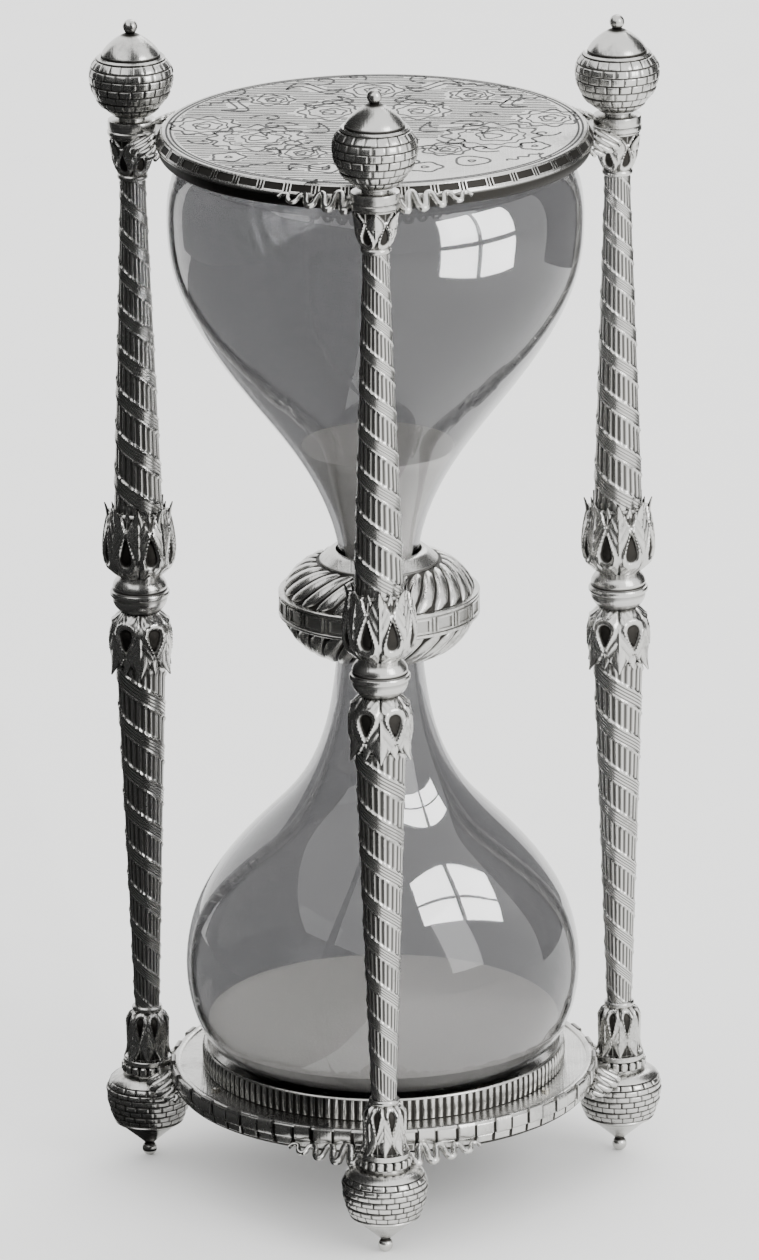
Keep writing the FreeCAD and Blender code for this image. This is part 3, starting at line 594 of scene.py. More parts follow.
def silvered(colours):
    return metal("Silvered brass", colours.metal, colours.patina_and_shade)


def niello(colours):
    """Matt black inlay."""
    material, shader = new_material("Niello")
    if shader:
        nodes, links = material.node_tree.nodes, material.node_tree.links
        clouds = noise(nodes, links, position(material), 700.0)
        tone = blended(material, clouds, (0.012, 0.012, 0.012), (0.05, 0.05, 0.048))
        links.new(tone, shader.inputs["Base Color"])
        links.new(mapped(nodes, links, clouds, 0, 1, 0.5, 0.8), shader.inputs["Roughness"])
    return material


def glass(colours):
    """Smoky blown glass with a few slow ripples."""
    material, shader = new_material("Blown glass")
    if shader:
        nodes, links = material.node_tree.nodes, material.node_tree.links
        ripples = noise(nodes, links, position(material), 35.0, 1.0)
        shader.inputs["Base Color"].default_value = (*colours.glass, 1)
        shader.inputs["Transmission Weight"].default_value = 1.0
        shader.inputs["IOR"].default_value = 1.45
        links.new(mapped(nodes, links, ripples, 0, 1, 0.01, 0.05), shader.inputs["Roughness"])
        bump(material, shader, ripples, 0.05, 0.001)
        # most of the direct light goes through to the sand
        path = nodes.new("ShaderNodeLightPath")
        shade = maths(nodes, links, "MULTIPLY", path.outputs["Is Shadow Ray"], 0.75)
        links.new(maths(nodes, links, "SUBTRACT", 1.0, shade), shader.inputs["Alpha"])
    return material


def grainy(name, colour, dark, scale, strength):
    """A matt material of grains or fibres."""
    material, shader = new_material(name)
    if shader:
        nodes, links = material.node_tree.nodes, material.node_tree.links
        grains = noise(nodes, links, position(material), scale)
        tone = blended(material, grains, [c * dark for c in colour], colour)
        links.new(tone, shader.inputs["Base Color"])
        links.new(mapped(nodes, links, grains, 0, 1, 0.7, 0.95), shader.inputs["Roughness"])
        bump(material, shader, grains, strength, 0.0003)
    return material


# ---- reliefs --------------------------------------------------------------------------------------------

def near(distance, width):
    """1 on a line, falling off smoothly over a width."""
    return np.exp(-(distance / width) ** 2)


def step(share, low, high):
    t = np.clip((share - low) / (high - low), 0, 1)
    return t * t * (3 - 2 * t)


def ribbon_relief(length, low, width, ribbons, flutes):
    """Ribbons that wind round a tapering shaft, over upright flutes. Fewer than none wind the other way."""
    thick_pitch, thin_pitch = 11.0, 8.0
    change = thin_pitch - thick_pitch

    def relief(angle, height):
        share = height / length
        turns = length / change * np.log1p(change * share / thick_pitch)
        phase = turns + ribbons * angle / TURN
        off = np.abs(phase - np.round(phase))
        half = width / thick_pitch / 2 - 0.03 * share
        inside = 1 - step(off, half - 0.012, half + 0.012)
        edge = near(off - half, 0.026)
        groove = 0.5 - 0.5 * np.cos(off / half * 2.5 * TURN)
        flute = 0.5 - 0.5 * np.cos(angle * flutes)
        thin = 0.55 + 0.45 * (1 - share)
        lift = thin * (inside * (0.10 - 0.14 * groove) - (1 - inside) * (0.10 + 0.24 * flute) + 0.34 * edge)
        darkness = np.maximum((1 - inside) * (0.16 + 0.50 * flute), inside * 0.66 * groove) * (1 - edge)
        return lift * step(height, low, low + 1), darkness
    return relief


def leaf_relief(count, foot, head, depth, eye=(0.34, 0.20, 0.26), start=0.0, taper=0.62):
    """A wreath of pointed leaves with drop-shaped eyes between them. The eye has a level, a height and a
    width, as shares of the wreath's height and of one leaf's width."""
    def relief(angle, height):
        share = (height - foot) / (head - foot)
        place = angle / TURN * count + start
        off = np.abs(place - np.round(place))
        seam_off = 0.5 - off
        drop = (share - eye[0]) / eye[1]
        drop = np.where(drop > 0, drop / 1.5, drop)
        wide = eye[2] * np.clip(1 - 0.55 * drop, 0.2, 1.6)
        reach = np.sqrt((seam_off / wide) ** 2 + drop ** 2)
        hole = 1 - step(reach, 0.75, 1.05)
        rim = near(reach - 1.28, 0.17)
        notch = near(off, 0.05) * (1 - step(share, 0.1, 0.24))
        tooth = np.abs((share * 9) % 1 - 0.5)
        leaf_half = 0.5 - 0.40 * step(share, taper, 1.05) - 0.05 * tooth * step(share, taper - 0.1, taper)
        behind = step(off, leaf_half - 0.03, leaf_half + 0.03) * step(share, taper - 0.12, taper)
        seam = near(seam_off, 0.035) * step(share, eye[0] + 0.1, eye[0] + 0.3) * (1 - behind)
        rib = near(off, 0.03) * step(share, 0.25, 0.4) * (1 - behind)
        vein = (0.5 + 0.5 * np.cos(TURN * (share * 6 - off * 4))) * (1 - hole) * (1 - rib) * (1 - behind)
        back_rib = near(seam_off, 0.03) * behind
        lobes = np.cos(seam_off * math.pi) ** 2 * (1 - step(share, 0.3, 0.5))
        lift = depth * (0.25 * lobes - hole + 0.35 * rim - 0.45 * notch - 0.8 * behind - 0.4 * seam
                        + 0.30 * rib - 0.12 * vein + 0.3 * back_rib)
        far_leaf = 0.7 * behind - 0.4 * back_rib
        darkness = np.maximum.reduce([hole, 0.8 * notch, far_leaf, 0.8 * seam, 0.32 * vein])
        return lift, np.clip(darkness - rim - 0.5 * rib, 0, 1)
    return relief


def brick_relief(courses, bricks, depth):
    """Courses of bricks with staggered joints, between heights in a list."""
    cup, joint_width = 9.0, 0.17

    def relief(angle, height):
        course = np.searchsorted(courses, height + 1e-6) - 1
        low = np.array(courses)[np.clip(course, 0, len(courses) - 2)]
        high = np.array(courses)[np.clip(course + 1, 1, len(courses) - 1)]
        bed = np.minimum(height - low, high - height)
        place = angle / TURN * bricks + 0.5 * (course % 2) + 0.13 * course
        off = np.abs(place - np.round(place)) / bricks * TURN * cup
        inside = (height >= courses[0]) & (height <= courses[-1])
        joint = np.maximum(near(off, joint_width), near(bed, joint_width)) * inside
        unlike = np.sin(np.floor(place + 0.5) * 12.9898 + course * 78.233)
        lift = inside * (0.3 * depth * (unlike - 1)) * (1 - joint) - depth * joint
        return lift, np.clip(0.75 * joint + 0.10 * (unlike + 1) * inside, 0, 1)
    return relief


def turned(darkness, lift=None):
    """A relief that is the same all the way round, from how dark and how far lifted it is at a height."""
    def relief(angle, height):
        flat = np.zeros((len(height), angle.shape[1]))
        return flat + lift(height) if lift else flat, flat + darkness(height)
    return relief


# ---- posts ----------------------------------------------------------------------------------------------

def build_knops(colours):
    height, wide = height_of("front_knop"), width_of("front_knop")
    waist, brow, half = wide * 0.62, wide * 0.93, height / 2
    outline = [(BORE, 0, 0)] + bulge((waist, 0.0), (brow, half - 0.9), 10) + [(brow, half - 0.75, 1)]
    outline += [(wide - 0.15, half - 0.6, 1), (wide, half - 0.3, 1), (wide, half + 0.3, 1),
                (wide - 0.15, half + 0.6, 1), (brow, half + 0.75, 1)]
    outline += bulge((brow, half + 0.9), (waist + 0.5, height - 0.3), 10)
    outline += [(waist + 0.4, height, 1), (BORE, height, 0)]

    def ditch(level):
        return near(np.abs(level - half) - 1.0, 0.28)

    # the grooves by the belt hold tarnish; the lowest 2.4 mm of the knop are painted shade, darker towards
    # its lower end
    def darkness(level):
        return np.clip(0.9 * ditch(level) + 0.6 * (1 - step(level, 0, 2.4)), 0, 1)
    relief = turned(darkness, lambda level: -0.25 * ditch(level))
    on_posts("knop", "upper", fused([lathe(outline, 72, relief)]), silvered(colours))


def build_shafts(sizes, colours):
    for half in ENDS:
        node = f"front_{half}_shaft"
        length, thick = height_of(node), width_of(node)
        low = height_of(f"front_{half}_calyx") - 2.5
        outline = [(BORE, 0, 0)] + run((thick, 0.0), (thick, length * 0.12), 30)
        outline += run((thick, length * 0.12), (SHAFT_END, length), 290)
        outline += [(SHAFT_END, length, 1), (BORE, length, 0)]
        ribbons = sizes.shaft_ribbons if half == "upper" else -sizes.shaft_ribbons
        relief = ribbon_relief(length, low, sizes.ribbon_width * 1000, ribbons, sizes.shaft_flutes)
        mesh = fused([lathe(outline, 6 * sizes.shaft_flutes, relief)], half == "lower")
        on_posts(f"{half}_shaft", half, mesh, silvered(colours))


def leaf_tip(foot, head, half_angle, rise, curl):
    """A pointed leaf tip that leans outwards, on a line from foot to head, both (radius, height)."""
    rows = [(foot[0] + (head[0] - foot[0]) * t + curl * t ** 3, foot[1] + (head[1] - foot[1]) * t)
            for t in np.linspace(0, 1, 7)]
    width = half_angle * np.array([0.9, 1.0, 0.94, 0.8, 0.58, 0.32, 0.08])
    return lobe(rows, width, rise * np.array([0.6, 1, 1, 0.95, 0.85, 0.7, 0.4]), darkness=0.7)


def build_calyxes(sizes, colours):
    depth = sizes.relief * 1000
    for half, count in (("upper", 8), ("lower", 6)):
        node = f"front_{half}_calyx"
        height, wide = height_of(node), width_of(node)
        edge = height * 0.9
        lip = CALYX_LIP + (wide - CALYX_LIP) * 0.1
        outline = [(BORE, 0, 0)] + bulge((CALYX_FOOT, 0.0), (wide, CALYX_RISE), 22)
        outline += bulge((wide, CALYX_RISE), (lip, edge), 36) + [(lip, edge, 1), (CALYX_BORE, edge, 0)]
        outline += [(CALYX_BORE, CALYX_FLOOR, 0), (BORE, CALYX_FLOOR, 0)]
        relief = leaf_relief(count, 0.0, height, depth, eye=(0.36, 0.17, 0.23), start=0.25 * count)
        core = lathe(outline, 24 * count, relief)
        sector = math.pi / count
        tip = leaf_tip((lip + 0.05, edge - 4.2), (CALYX_LIP + 0.15, height), sector * 0.62, 0.5, 0.9)
        back = leaf_tip((lip - 0.5, edge - 3.0), (CALYX_LIP - 0.5, height - 0.7), sector * 0.5, 0.35, 0.5)
        tips = ring_of(tip, count, silvered(colours), start=-math.pi / 2)
        backs = ring_of(back, count, silvered(colours), start=-math.pi / 2 + sector)
        on_posts(f"{half}_calyx", half, fused([core, tips, backs], half == "lower"), silvered(colours))


def build_capitals(sizes, colours):
    depth = sizes.relief * 700
    for half, belly, rise, neck, plate in (("upper", 4.4, 4.2, 4.7, 0.5), ("lower", 4.65, 2.6, 4.4, 1.2)):
        node = f"front_{ENDS[half]}_capital"
        height, wide = height_of(node), width_of(node)
        swelled, top = ASTRAGAL + rise, height - plate
        outline = [(BORE, 0, 0), (2.95, 0, 0), (3.25, 0.25, 0), (3.35, ASTRAGAL / 2, 0),
                   (3.25, ASTRAGAL - 0.25, 0), (2.95, ASTRAGAL, 0), (SHAFT_END, ASTRAGAL, 0)]
        outline += bulge((SHAFT_END, ASTRAGAL), (belly, swelled), 16)
        outline += run((belly, swelled), (neck, top), 34)
        outline += [(neck, top, 0), (wide - 0.15, top, 0), (wide, top + 0.15, 0), (wide, height - 0.15, 0),
                    (wide - 0.15, height, 0), (BORE, height, 0)]
        count = 6 if half == "upper" else 8
        eye = (0.30, 0.22, 0.24) if half == "upper" else (0.24, 0.20, 0.22)
        relief = leaf_relief(count, ASTRAGAL, top, depth, eye=eye, start=0.25 * count, taper=0.7)
        core = lathe(outline, 20 * count, relief)
        sector = math.pi / count
        tip = leaf_tip((neck - 0.15, top - 3.4), (neck + 0.1, top - 0.05), sector * 0.8, 0.4, 0.75)
        tips = ring_of(tip, count, silvered(colours), start=-math.pi / 2)
        on_posts(f"{ENDS[half]}_capital", half, fused([core, tips], half == "lower"), silvered(colours))


def build_cups(sizes, colours):
    depth = sizes.joint_depth * 1000
    for half, ring_top, neck, rise, lip in (("upper", 2.3, 3.0, 9.2, 6.9), ("lower", 0.3, 4.8, 3.8, 7.4)):
        node = f"front_{ENDS[half]}_cup"
        height, wide = height_of(node), width_of(node)
        foot = ring_top + 0.4
        soft = min(0.5, ring_top / 3)
        outline = [(BORE, 0, 0), (CUP_RING - soft, 0, 0), (CUP_RING - 0.2 * soft, 0.3 * soft, 0),
                   (CUP_RING, soft, 0), (CUP_RING, ring_top - soft, 0),
                   (CUP_RING - 0.2 * soft, ring_top - 0.3 * soft, 0), (CUP_RING - soft, ring_top, 0),
                   (neck, ring_top, 0)]
        outline += bulge((neck, foot), (wide, foot + rise), 60)
        outline += bulge((wide, foot + rise), (lip + 0.2, height - 0.15), 40)
        outline += [(lip + 0.1, height, 0), (lip - 0.4, height - 0.1, 0), (BORE, height - 0.1, 0)]
        first = foot + rise * (0.05 if half == "upper" else 0.35)
        courses = list(np.linspace(first, height - 0.45, CUP_COURSES + 1))
        core = lathe(outline, sizes.bricks * 10, brick_relief(courses, sizes.bricks, depth))
        on_posts(f"{ENDS[half]}_cup", half, fused([core], half == "lower"), silvered(colours), sharp=50)


def build_cap_nuts(colours):
    for half, dome, swell, close in (("upper", 5.0, 1.55, 0.85), ("lower", 5.4, 1.1, 1.1)):
        node = f"front_{ENDS[half]}_acorn"
        height, wide = height_of(node), width_of(node)
        centre = dome + ACORN_BALL_RISE
        lowest = math.asin(-ACORN_BALL_RISE / ACORN_BALL) + 0.25
        outline = [(1.2, 0, 1)] + [(1.0 + (wide - 1.0) * (1 - t ** swell) ** close, dome * t, 1)
                                   for t in np.linspace(0, 1, 22)]
        outline += [(ACORN_BALL * math.cos(a), centre + ACORN_BALL * math.sin(a), 1)
                    for a in np.linspace(lowest, math.asin((height - centre) / ACORN_BALL), 12)]
        outline += [(0.001, height, 1), (0.001, 3.5, 1), (1.2, 3.5, 1)]

        def joints(level):
            return np.clip(near(level - dome, 0.5) + (1 - step(level, 0, 0.8)), 0, 1)
        mesh = fused([lathe(outline, 64, turned(joints))], half == "lower")
        on_posts(f"{ENDS[half]}_acorn", half, mesh, silvered(colours))


# ---- plates ---------------------------------------------------------------------------------------------

def slab(outline, columns, relief=None):
    """A turned disc, closed on the axis at both faces."""
    whole = [(1e-5, outline[0][1], 1)] + outline + [(1e-5, outline[-1][1], 1)]
    return lathe(whole, columns, relief, ring=False)


def eye_and_arm(post, root, radius, low, high, nicks):
    """A ring round a tie rod, nicked or plain, and the arm that joins it to a plate, in the plate's frame."""
    x, y = post_axis(post)
    soft = 0.25
    outline = [(BORE, low, 0), (radius - soft, low, 1), (radius, low + soft, 1), (radius, high - soft, 1),
               (radius - soft, high, 1), (BORE, high, 0)]

    def nicked(angle, level):
        cut = near((angle / TURN * nicks) % 1 - 0.5, 0.16) * np.ones_like(level)
        return -0.45 * cut, 0.9 * cut
    ring = lathe(outline, 8 * nicks, nicked) if nicks else lathe(outline, 72)
    ring.transform(Matrix.Translation((x, y, 0)))
    rows = []
    for far in (root, math.hypot(x, y) - radius * 0.55):
        rows.append([(far, side * radius * 0.8, z) for side, z in
                     ((-1, low + 0.1), (1, low + 0.1), (1, high - 0.1), (-1, high - 0.1))])
    rows = [[np.mean(rows[0], 0)] * 4] + rows + [[np.mean(rows[1], 0)] * 4]
    # painted shade: the arm is painted somewhat dark all over, as the shaded side of the lug between plate
    # and post
    arm = grid(np.array(rows), np.full((4, 4), 0.3), ring=False)
    arm.transform(Matrix.Rotation(math.atan2(y, x), 4, "Z"))
    return [ring, arm]


def build_top_plate(sizes, colours):
    material = silvered(colours)
    low, high = span("top_plate")
    thick = high - low
    wide = PLATES["upper"]
    top = wide - 1.4
    outline = [(wide - 0.2, 0, 1), (wide, 0.15, 1), (wide, 0.4, 1)]
    outline += run((wide, 0.4), (top, thick - 0.1), 12)[1:] + [(top, thick - 0.1, 1), (top - 0.12, thick, 1)]
    count = sizes.border_panels
    half = math.pi / count
    face = (wide - 0.14, 0.62), (top + 0.1, thick - 0.22)
    front = -math.pi / 2
    panels = ring_of(framed_panel(*face, half * 0.80, 0.28, 0.16), count, material, start=front + half)
    seams = ring_of(block(*face, half * 0.045, 0.12), count, material, start=front)

    def band(level):
        return 0.85 * (step(level, 0.55, 0.75) * (1 - step(level, thick - 0.5, thick - 0.3)))
    meshes = [slab(outline, 240, turned(band)), panels, seams]
    for post in POSTS:
        meshes += eye_and_arm(post, top - 1.4, EYES["upper"], 0.0, EYE_HEIGHTS["upper"], 0)
    on_axis("top_plate", meshes, material, low)


def build_top_rim(colours):
    """The coved moulding under the top plate."""
    low, high = span("top_rim")
    depth, wide, cove = high - low, PLATES["upper"] - 0.4, 1.6
    inner, foot = wide - 2.6, wide - cove
    outline = [(inner, 0, 0), (foot, 0, 1)]
    outline += [(foot + cove * math.sin(a), depth - 0.35 - (depth - 0.35) * math.cos(a), 1)
                for a in np.linspace(0.15, math.pi / 2, 10)]
    outline += [(wide, depth, 1), (inner, depth, 0)]
    # painted shade: the plain cove under the top plate is painted dark all over, lighter towards its outer
    # top edge
    shade = turned(lambda level: 0.95 - 0.5 * step(level, depth - 0.7, depth))
    on_axis("top_rim", [lathe(outline, 240, shade)], silvered(colours), low)


def build_bottom_plate(sizes, colours):
    """The bottom plate with its lip and its edge of blocks, tall and short by turns."""
    material = silvered(colours)
    low, high = span("bottom_plate")
    thick, wide = high - low, PLATES["lower"]
    pairs = sizes.rim_blocks // 2
    half = math.pi / sizes.rim_blocks
    edge = wide - 0.05
    tall = ring_of(block((edge, 0.0), (edge, thick + 0.55), half * 0.84, 0.75), pairs, material)
    short = ring_of(block((edge, 0.0), (edge, thick - 0.1), half * 0.90, 0.45), pairs, material,
                    start=2 * half)
    lip = lathe([(wide - 1.6, thick - 0.2, 1), (wide - 0.2, thick - 0.2, 1), (wide - 0.2, thick + 0.3, 1),
                 (wide - 0.5, thick + 0.45, 1), (wide - 1.3, thick + 0.45, 1), (wide - 1.6, thick + 0.3, 1)],
                240)
    outline = [(wide - 0.2, 0, 1), (wide, 0.2, 1), (wide, thick - 0.3, 1), (wide, thick - 0.2, 1),
               (wide - 0.2, thick, 1)]
    dark_edge = turned(lambda level: 0.9 * (1 - step(level, thick - 0.3, thick - 0.2)))
    on_axis("bottom_plate", [slab(outline, 240, dark_edge), tall, short, lip], material, low)


def build_bottom_rim(sizes, colours):
    """The fluted moulding under the bottom plate, with the eyes for the tie rods."""
    material = silvered(colours)
    low, _ = span("bottom_rim")
    plate_low, _ = span("bottom_plate")
    depth, wide, bore, cove = plate_low - low, PLATES["lower"] - 0.4, PLATES["lower"] - 8.3, 1.2
    foot = [(bore, 0, 0), (wide - cove, 0, 1)]
    foot += [(wide - cove + cove * math.sin(a), depth / 2 * (1 - math.cos(a)), 1)
             for a in np.linspace(0.2, 1.57, 8)]
    foot += [(wide, depth, 1), (bore, depth, 0)]
    count = sizes.rim_blocks
    flute = block((wide - 0.25, depth * 0.34), (wide, depth), math.pi / count * 0.84, 0.5)
    meshes = [lathe(foot, 240, turned(lambda level: 0.85)), ring_of(flute, count, material)]
    eye_high = depth - 0.1
    for post in POSTS:
        meshes += eye_and_arm(post, wide - 4.0, EYES["lower"], eye_high - EYE_HEIGHTS["lower"], eye_high, 18)
    on_axis("bottom_rim", meshes, material, low)


def build_rivet_heads(colours):
    """The domed heads of the rivets round the seat ring."""
    material = silvered(colours)
    wide, rise, sunk = 0.95, 0.6, -0.3
    dome = [(wide * math.cos(a), rise * math.sin(a), 1) for a in np.linspace(0, 1.45, 4)]
    head = lathe([(1e-5, sunk, 1), (wide, sunk, 1)] + dome + [(1e-5, rise, 1)], 10, ring=False)
    head.transform(Matrix.Translation((RIVET_CIRCLE, 0, 0)))
    heads = ring_of(head, RIVETS, material, start=FIRST_RIVET)
    _, level = span("bottom_plate")
    finish_piece("fine_rivet_heads", fused([heads]), material, at=(0, 0, level))


def build_seat_ring(sizes, colours):
    material = silvered(colours)
    low, high = span("seat_ring")
    height, wide = high - low, width_of("seat_ring")
    outline = [(wide - 0.8, 0, 0), (wide, 0, 1), (wide, height * 0.90, 1), (wide - 0.05, height * 0.95, 1),
               (wide - 0.3, height, 1), (wide - 0.8, height, 0)]
    dark = turned(lambda level: 0.95 - 0.7 * step(level, height * 0.9, height * 0.95))
    count = sizes.seat_flutes
    rows = [(wide - 0.02, z) for z in np.linspace(0.2, height * 0.93, 5)]
    rib = lobe(rows, math.pi / count * 0.62, 0.34 * np.array([0.3, 1, 1, 1, 0.3]), darkness=0.4)
    ribs = ring_of(rib, count, material)
    on_axis("seat_ring", [lathe(outline, 200, dark), ribs], material, low)


# ---- collar ---------------------------------------------------------------------------------------------

def build_collar_domes(sizes, colours):
    """The two domes of slanting lobes above and below the belt."""
    material = silvered(colours)
    middle = sum(span("collar_belt")) / 2
    count, brow = sizes.gadroons, 2.7
    half_sector = math.pi / count
    for half, end, lean in (("upper", 13.6, 0.42), ("lower", 11.1, -0.5)):
        node = f"collar_{half}_dome"
        height = height_of(node)
        across, along = COLLAR - end, height - brow
        chord = math.hypot(across, along)
        sag = COLLAR_CURVE - math.sqrt(COLLAR_CURVE ** 2 - chord ** 2 / 4)
        curve = []
        for t in np.linspace(0, 1, 19):
            out = 4 * sag * t * (1 - t)
            curve.append((COLLAR - across * t + out * along / chord,
                          brow + along * t + out * across / chord, 1))
        outline = [(COLLAR_BORE, 0, 0), (COLLAR, 0, 0)] + curve + [(COLLAR_BORE, height, 0)]
        rows = [curve[i][:2] for i in (0, 2, 5, 8, 11, 14, 16, 18)]
        widths = half_sector * np.array([0.55, 0.92, 0.96, 0.96, 0.96, 0.94, 0.90, 0.5])
        rise = 0.75 * np.array([0.5, 1, 1.05, 1.05, 1, 0.9, 0.75, 0.35])
        lobes = ring_of(lobe(rows, widths, rise, twist=lean, across=7, darkness=0.9), count, material)
        core = lathe(outline, 120, turned(lambda level: 0.9))
        on_axis(node, [core, lobes], material, middle, half == "lower", sharp=60)


def build_collar_belt(sizes, colours):
    """The belt of framed panels round the collar."""
    material = silvered(colours)
    low, high = span("collar_belt")
    height, outer = high - low, COLLAR_BELT
    lower_edge = [(COLLAR, 0, 0), (outer - 0.2, 0, 1), (outer, 0.2, 1), (outer, 0.65, 1),
                  (outer - 0.15, 0.8, 1), (outer - 0.4, 0.85, 1)]
    upper_edge = [(radius, height - level, weight) for radius, level, weight in reversed(lower_edge)]

    def trough(level):
        return 0.42 * (step(level, 0.7, 0.9) * (1 - step(level, height - 0.9, height - 0.7)))
    count = sizes.belt_panels
    half_sector = math.pi / count
    face = (outer - 0.4, 1.05), (outer - 0.4, height - 1.05)
    belt = lathe(lower_edge + upper_edge, 132, turned(trough))
    panels = ring_of(framed_panel(*face, half_sector * 0.74, 0.42, 0.38), count, material)
    ribs = ring_of(block(*face, half_sector * 0.06, 0.34), count, material, start=half_sector)
    on_axis("collar_belt", [belt, panels, ribs], material, low)


def build_collar_skirt(colours):
    """The cone on top of the collar."""
    low, high = span("collar_skirt")
    height, foot = high - low, 13.0
    outline = [(COLLAR_BORE, 0, 0), (foot, 0, 1), (foot, 0.5, 1)] + run((12.9, 0.6), (10.5, height - 0.1), 8)
    outline += [(10.3, height, 1), (COLLAR_BORE, height, 0)]
    shade = turned(lambda level: 0.7 * near(level - 0.55, 0.1))
    on_axis("collar_skirt", [lathe(outline, 96, shade)], silvered(colours), low)


# ---- serpentine ornaments -------------------------------------------------------------------------------

def scroll(reach, eye, edge, side):
    """A tapering wire that winds along a round edge from an eye's flank. The post stands towards +X."""
    start = math.asin((eye + 0.1) / reach)
    length, waves = 15.6 / edge, 4.1
    points, radii = [], []
    for t in np.linspace(0, 1, 110):
        phase = TURN * waves * t ** 0.94
        swing = (2.9 - 2.2 * t) * math.sin(phase) * min(1, t * 12 + 0.25)
        away = edge + 0.8 + (2.4 - 1.7 * t) + swing * 0.86
        # the crossings are steep and the bends wide
        angle = side * (start + length * (t - 0.3 * math.sin(2 * phase) / (TURN * waves)))
        points.append((away * math.cos(angle), away * math.sin(angle), -0.5 * swing))
        radii.append(1.0 - 0.55 * t)
    return sweep(points, radii, 8, 0.0)


def build_scrolls(colours):
    material = silvered(colours)
    for half, edge in PLATES.items():
        node = f"{ENDS[half]}_scrolls"
        low, high = span(node)
        meshes = []
        for post in POSTS:
            x, y = post_axis(post)
            for side in (1, -1):
                wire = scroll(math.hypot(x, y), EYES[half], edge, side)
                wire.transform(Matrix.Rotation(math.atan2(y, x), 4, "Z"))
                meshes.append(wire)
        on_axis(node, meshes, material, (low + high) / 2, sharp=80)


# ---- engraving ------------------------------------------------------------------------------------------

def rosette(x, y, radius, lobes, turn=0.0, dent=0.10):
    angle = np.linspace(0, TURN, 14 * lobes + 1)
    reach = radius * (1 + dent * np.cos(lobes * (angle + turn)))
    return np.stack([x + reach * np.cos(angle), y + reach * np.sin(angle)], 1)


def curl(x, y, size, turn, bend=1.0, turns=1.1):
    """A tendril that coils up at its end."""
    t = np.linspace(0, 1, 34)
    angle = turn + bend * TURN * turns * t ** 1.4
    stepping = size * (1.35 - t) / 17
    return np.stack([x + np.cumsum(np.cos(angle) * stepping), y + np.cumsum(np.sin(angle) * stepping)], 1)


def wave(x, y, length, turn, swing, waves):
    t = np.linspace(0, 1, 12 * waves + 1)
    along, across = length * t, swing * np.sin(TURN * waves * t) * (1 - 0.4 * t)
    return np.stack([x + along * math.cos(turn) - across * math.sin(turn),
                     y + along * math.sin(turn) + across * math.cos(turn)], 1)


def leaf_scroll(x, y, size, turn, bend):
    """The outline of a swan-necked leaf: two S curves that meet at both ends."""
    t = np.linspace(0, 1, 24)
    along = size * t
    body = size * 0.30 * bend * np.sin(TURN * t * 0.95)
    fat = size * 0.16 * np.sin(math.pi * t) ** 0.8
    lines = []
    for sign in (1, -1):
        across = body + sign * fat
        lines.append(np.stack([x + along * math.cos(turn) - across * math.sin(turn),
                               y + along * math.sin(turn) + across * math.cos(turn)], 1))
    return lines


# rosettes: x, y, radius, lobes; the inner rings follow each outline
ROSETTES = ((-25, -7, 9.8, 12), (25, -7, 9.8, 12), (-9.5, 14, 6.4, 8), (9.5, 14, 6.4, 8),
            (-36.5, 3.5, 7.0, 9), (37.5, 7.0, 6.4, 9), (-15.5, -19.5, 4.8, 7), (15.0, -17.5, 4.8, 7),
            (0, 31.5, 6.0, 6),
            (-22, 24.5, 4.5, 7), (21, 27.0, 4.5, 7), (10.5, -31.5, 3.6, 5), (-10.5, -31.5, 3.6, 5),
            (20.5, -27.0, 3.6, 3), (-31, -22, 3.4, 5), (34, -15.5, 3.0, 5), (0, -1, 4.6, 8))
LEAVES = ((-12, 5, 15, -2.3, 1), (12, 5, 15, -0.85, -1), (-19, 33, 12, 0.1, 1), (19, 34, 12, 3.0, -1),
          (-8, 27, 11, -1.9, 1), (8, 27, 11, -1.25, -1), (-33, 16, 11, 0.9, -1), (33, 17, 11, 2.2, 1),
          (-4, -14, 10, -2.6, 1), (4, -14, 10, -0.55, -1), (-18, -33, 9, 0.5, 1))
CURLS = ((-16, 3, 9, 2.2, 1), (16, 3, 9, 0.9, -1), (-27, 9, 8, 1.0, -1), (27, 9.5, 8, 2.1, 1),
         (-5, 20, 8, 1.9, 1), (5, 20, 8, 1.2, -1), (-13, -9, 8, -1.9, -1), (13, -9, 8, -1.2, 1),
         (-26, -20, 8, -0.4, 1),
         (27, -19, 8, -2.7, -1), (-40, -8, 7, -1.2, 1), (40, -4, 7, -1.9, -1), (-13, 36, 8, 0.2, 1),
         (12, 37, 8, 2.9, -1), (-30, 28, 7, 0.7, 1), (29, 28, 7, 2.4, -1), (-3, -24, 7, -1.9, -1),
         (4, -26, 7, -1.2, 1), (-20, -12, 6, 3.3, 1), (36, -21, 6, -2.2, 1), (-2, 40, 6, 1.3, 1))
WAVES = ((22, 19, 17, 0.35, 0.9, 5), (-38, 19, 14, 0.7, 0.8, 4), (-30, -30, 11, 0.3, 0.8, 3),
         (18, 37, 12, -0.35, 0.8, 4), (28, -27, 9, 0.7, 0.8, 3), (-6, -38, 12, 0.0, 0.7, 4))


def stretches(kept, least):
    """The unbroken runs of a mask, as indices, each of at least so many."""
    cuts = np.flatnonzero(np.diff(kept.astype(int))) + 1
    return [part for part in np.split(np.arange(len(kept)), cuts) if kept[part[0]] and len(part) >= least]


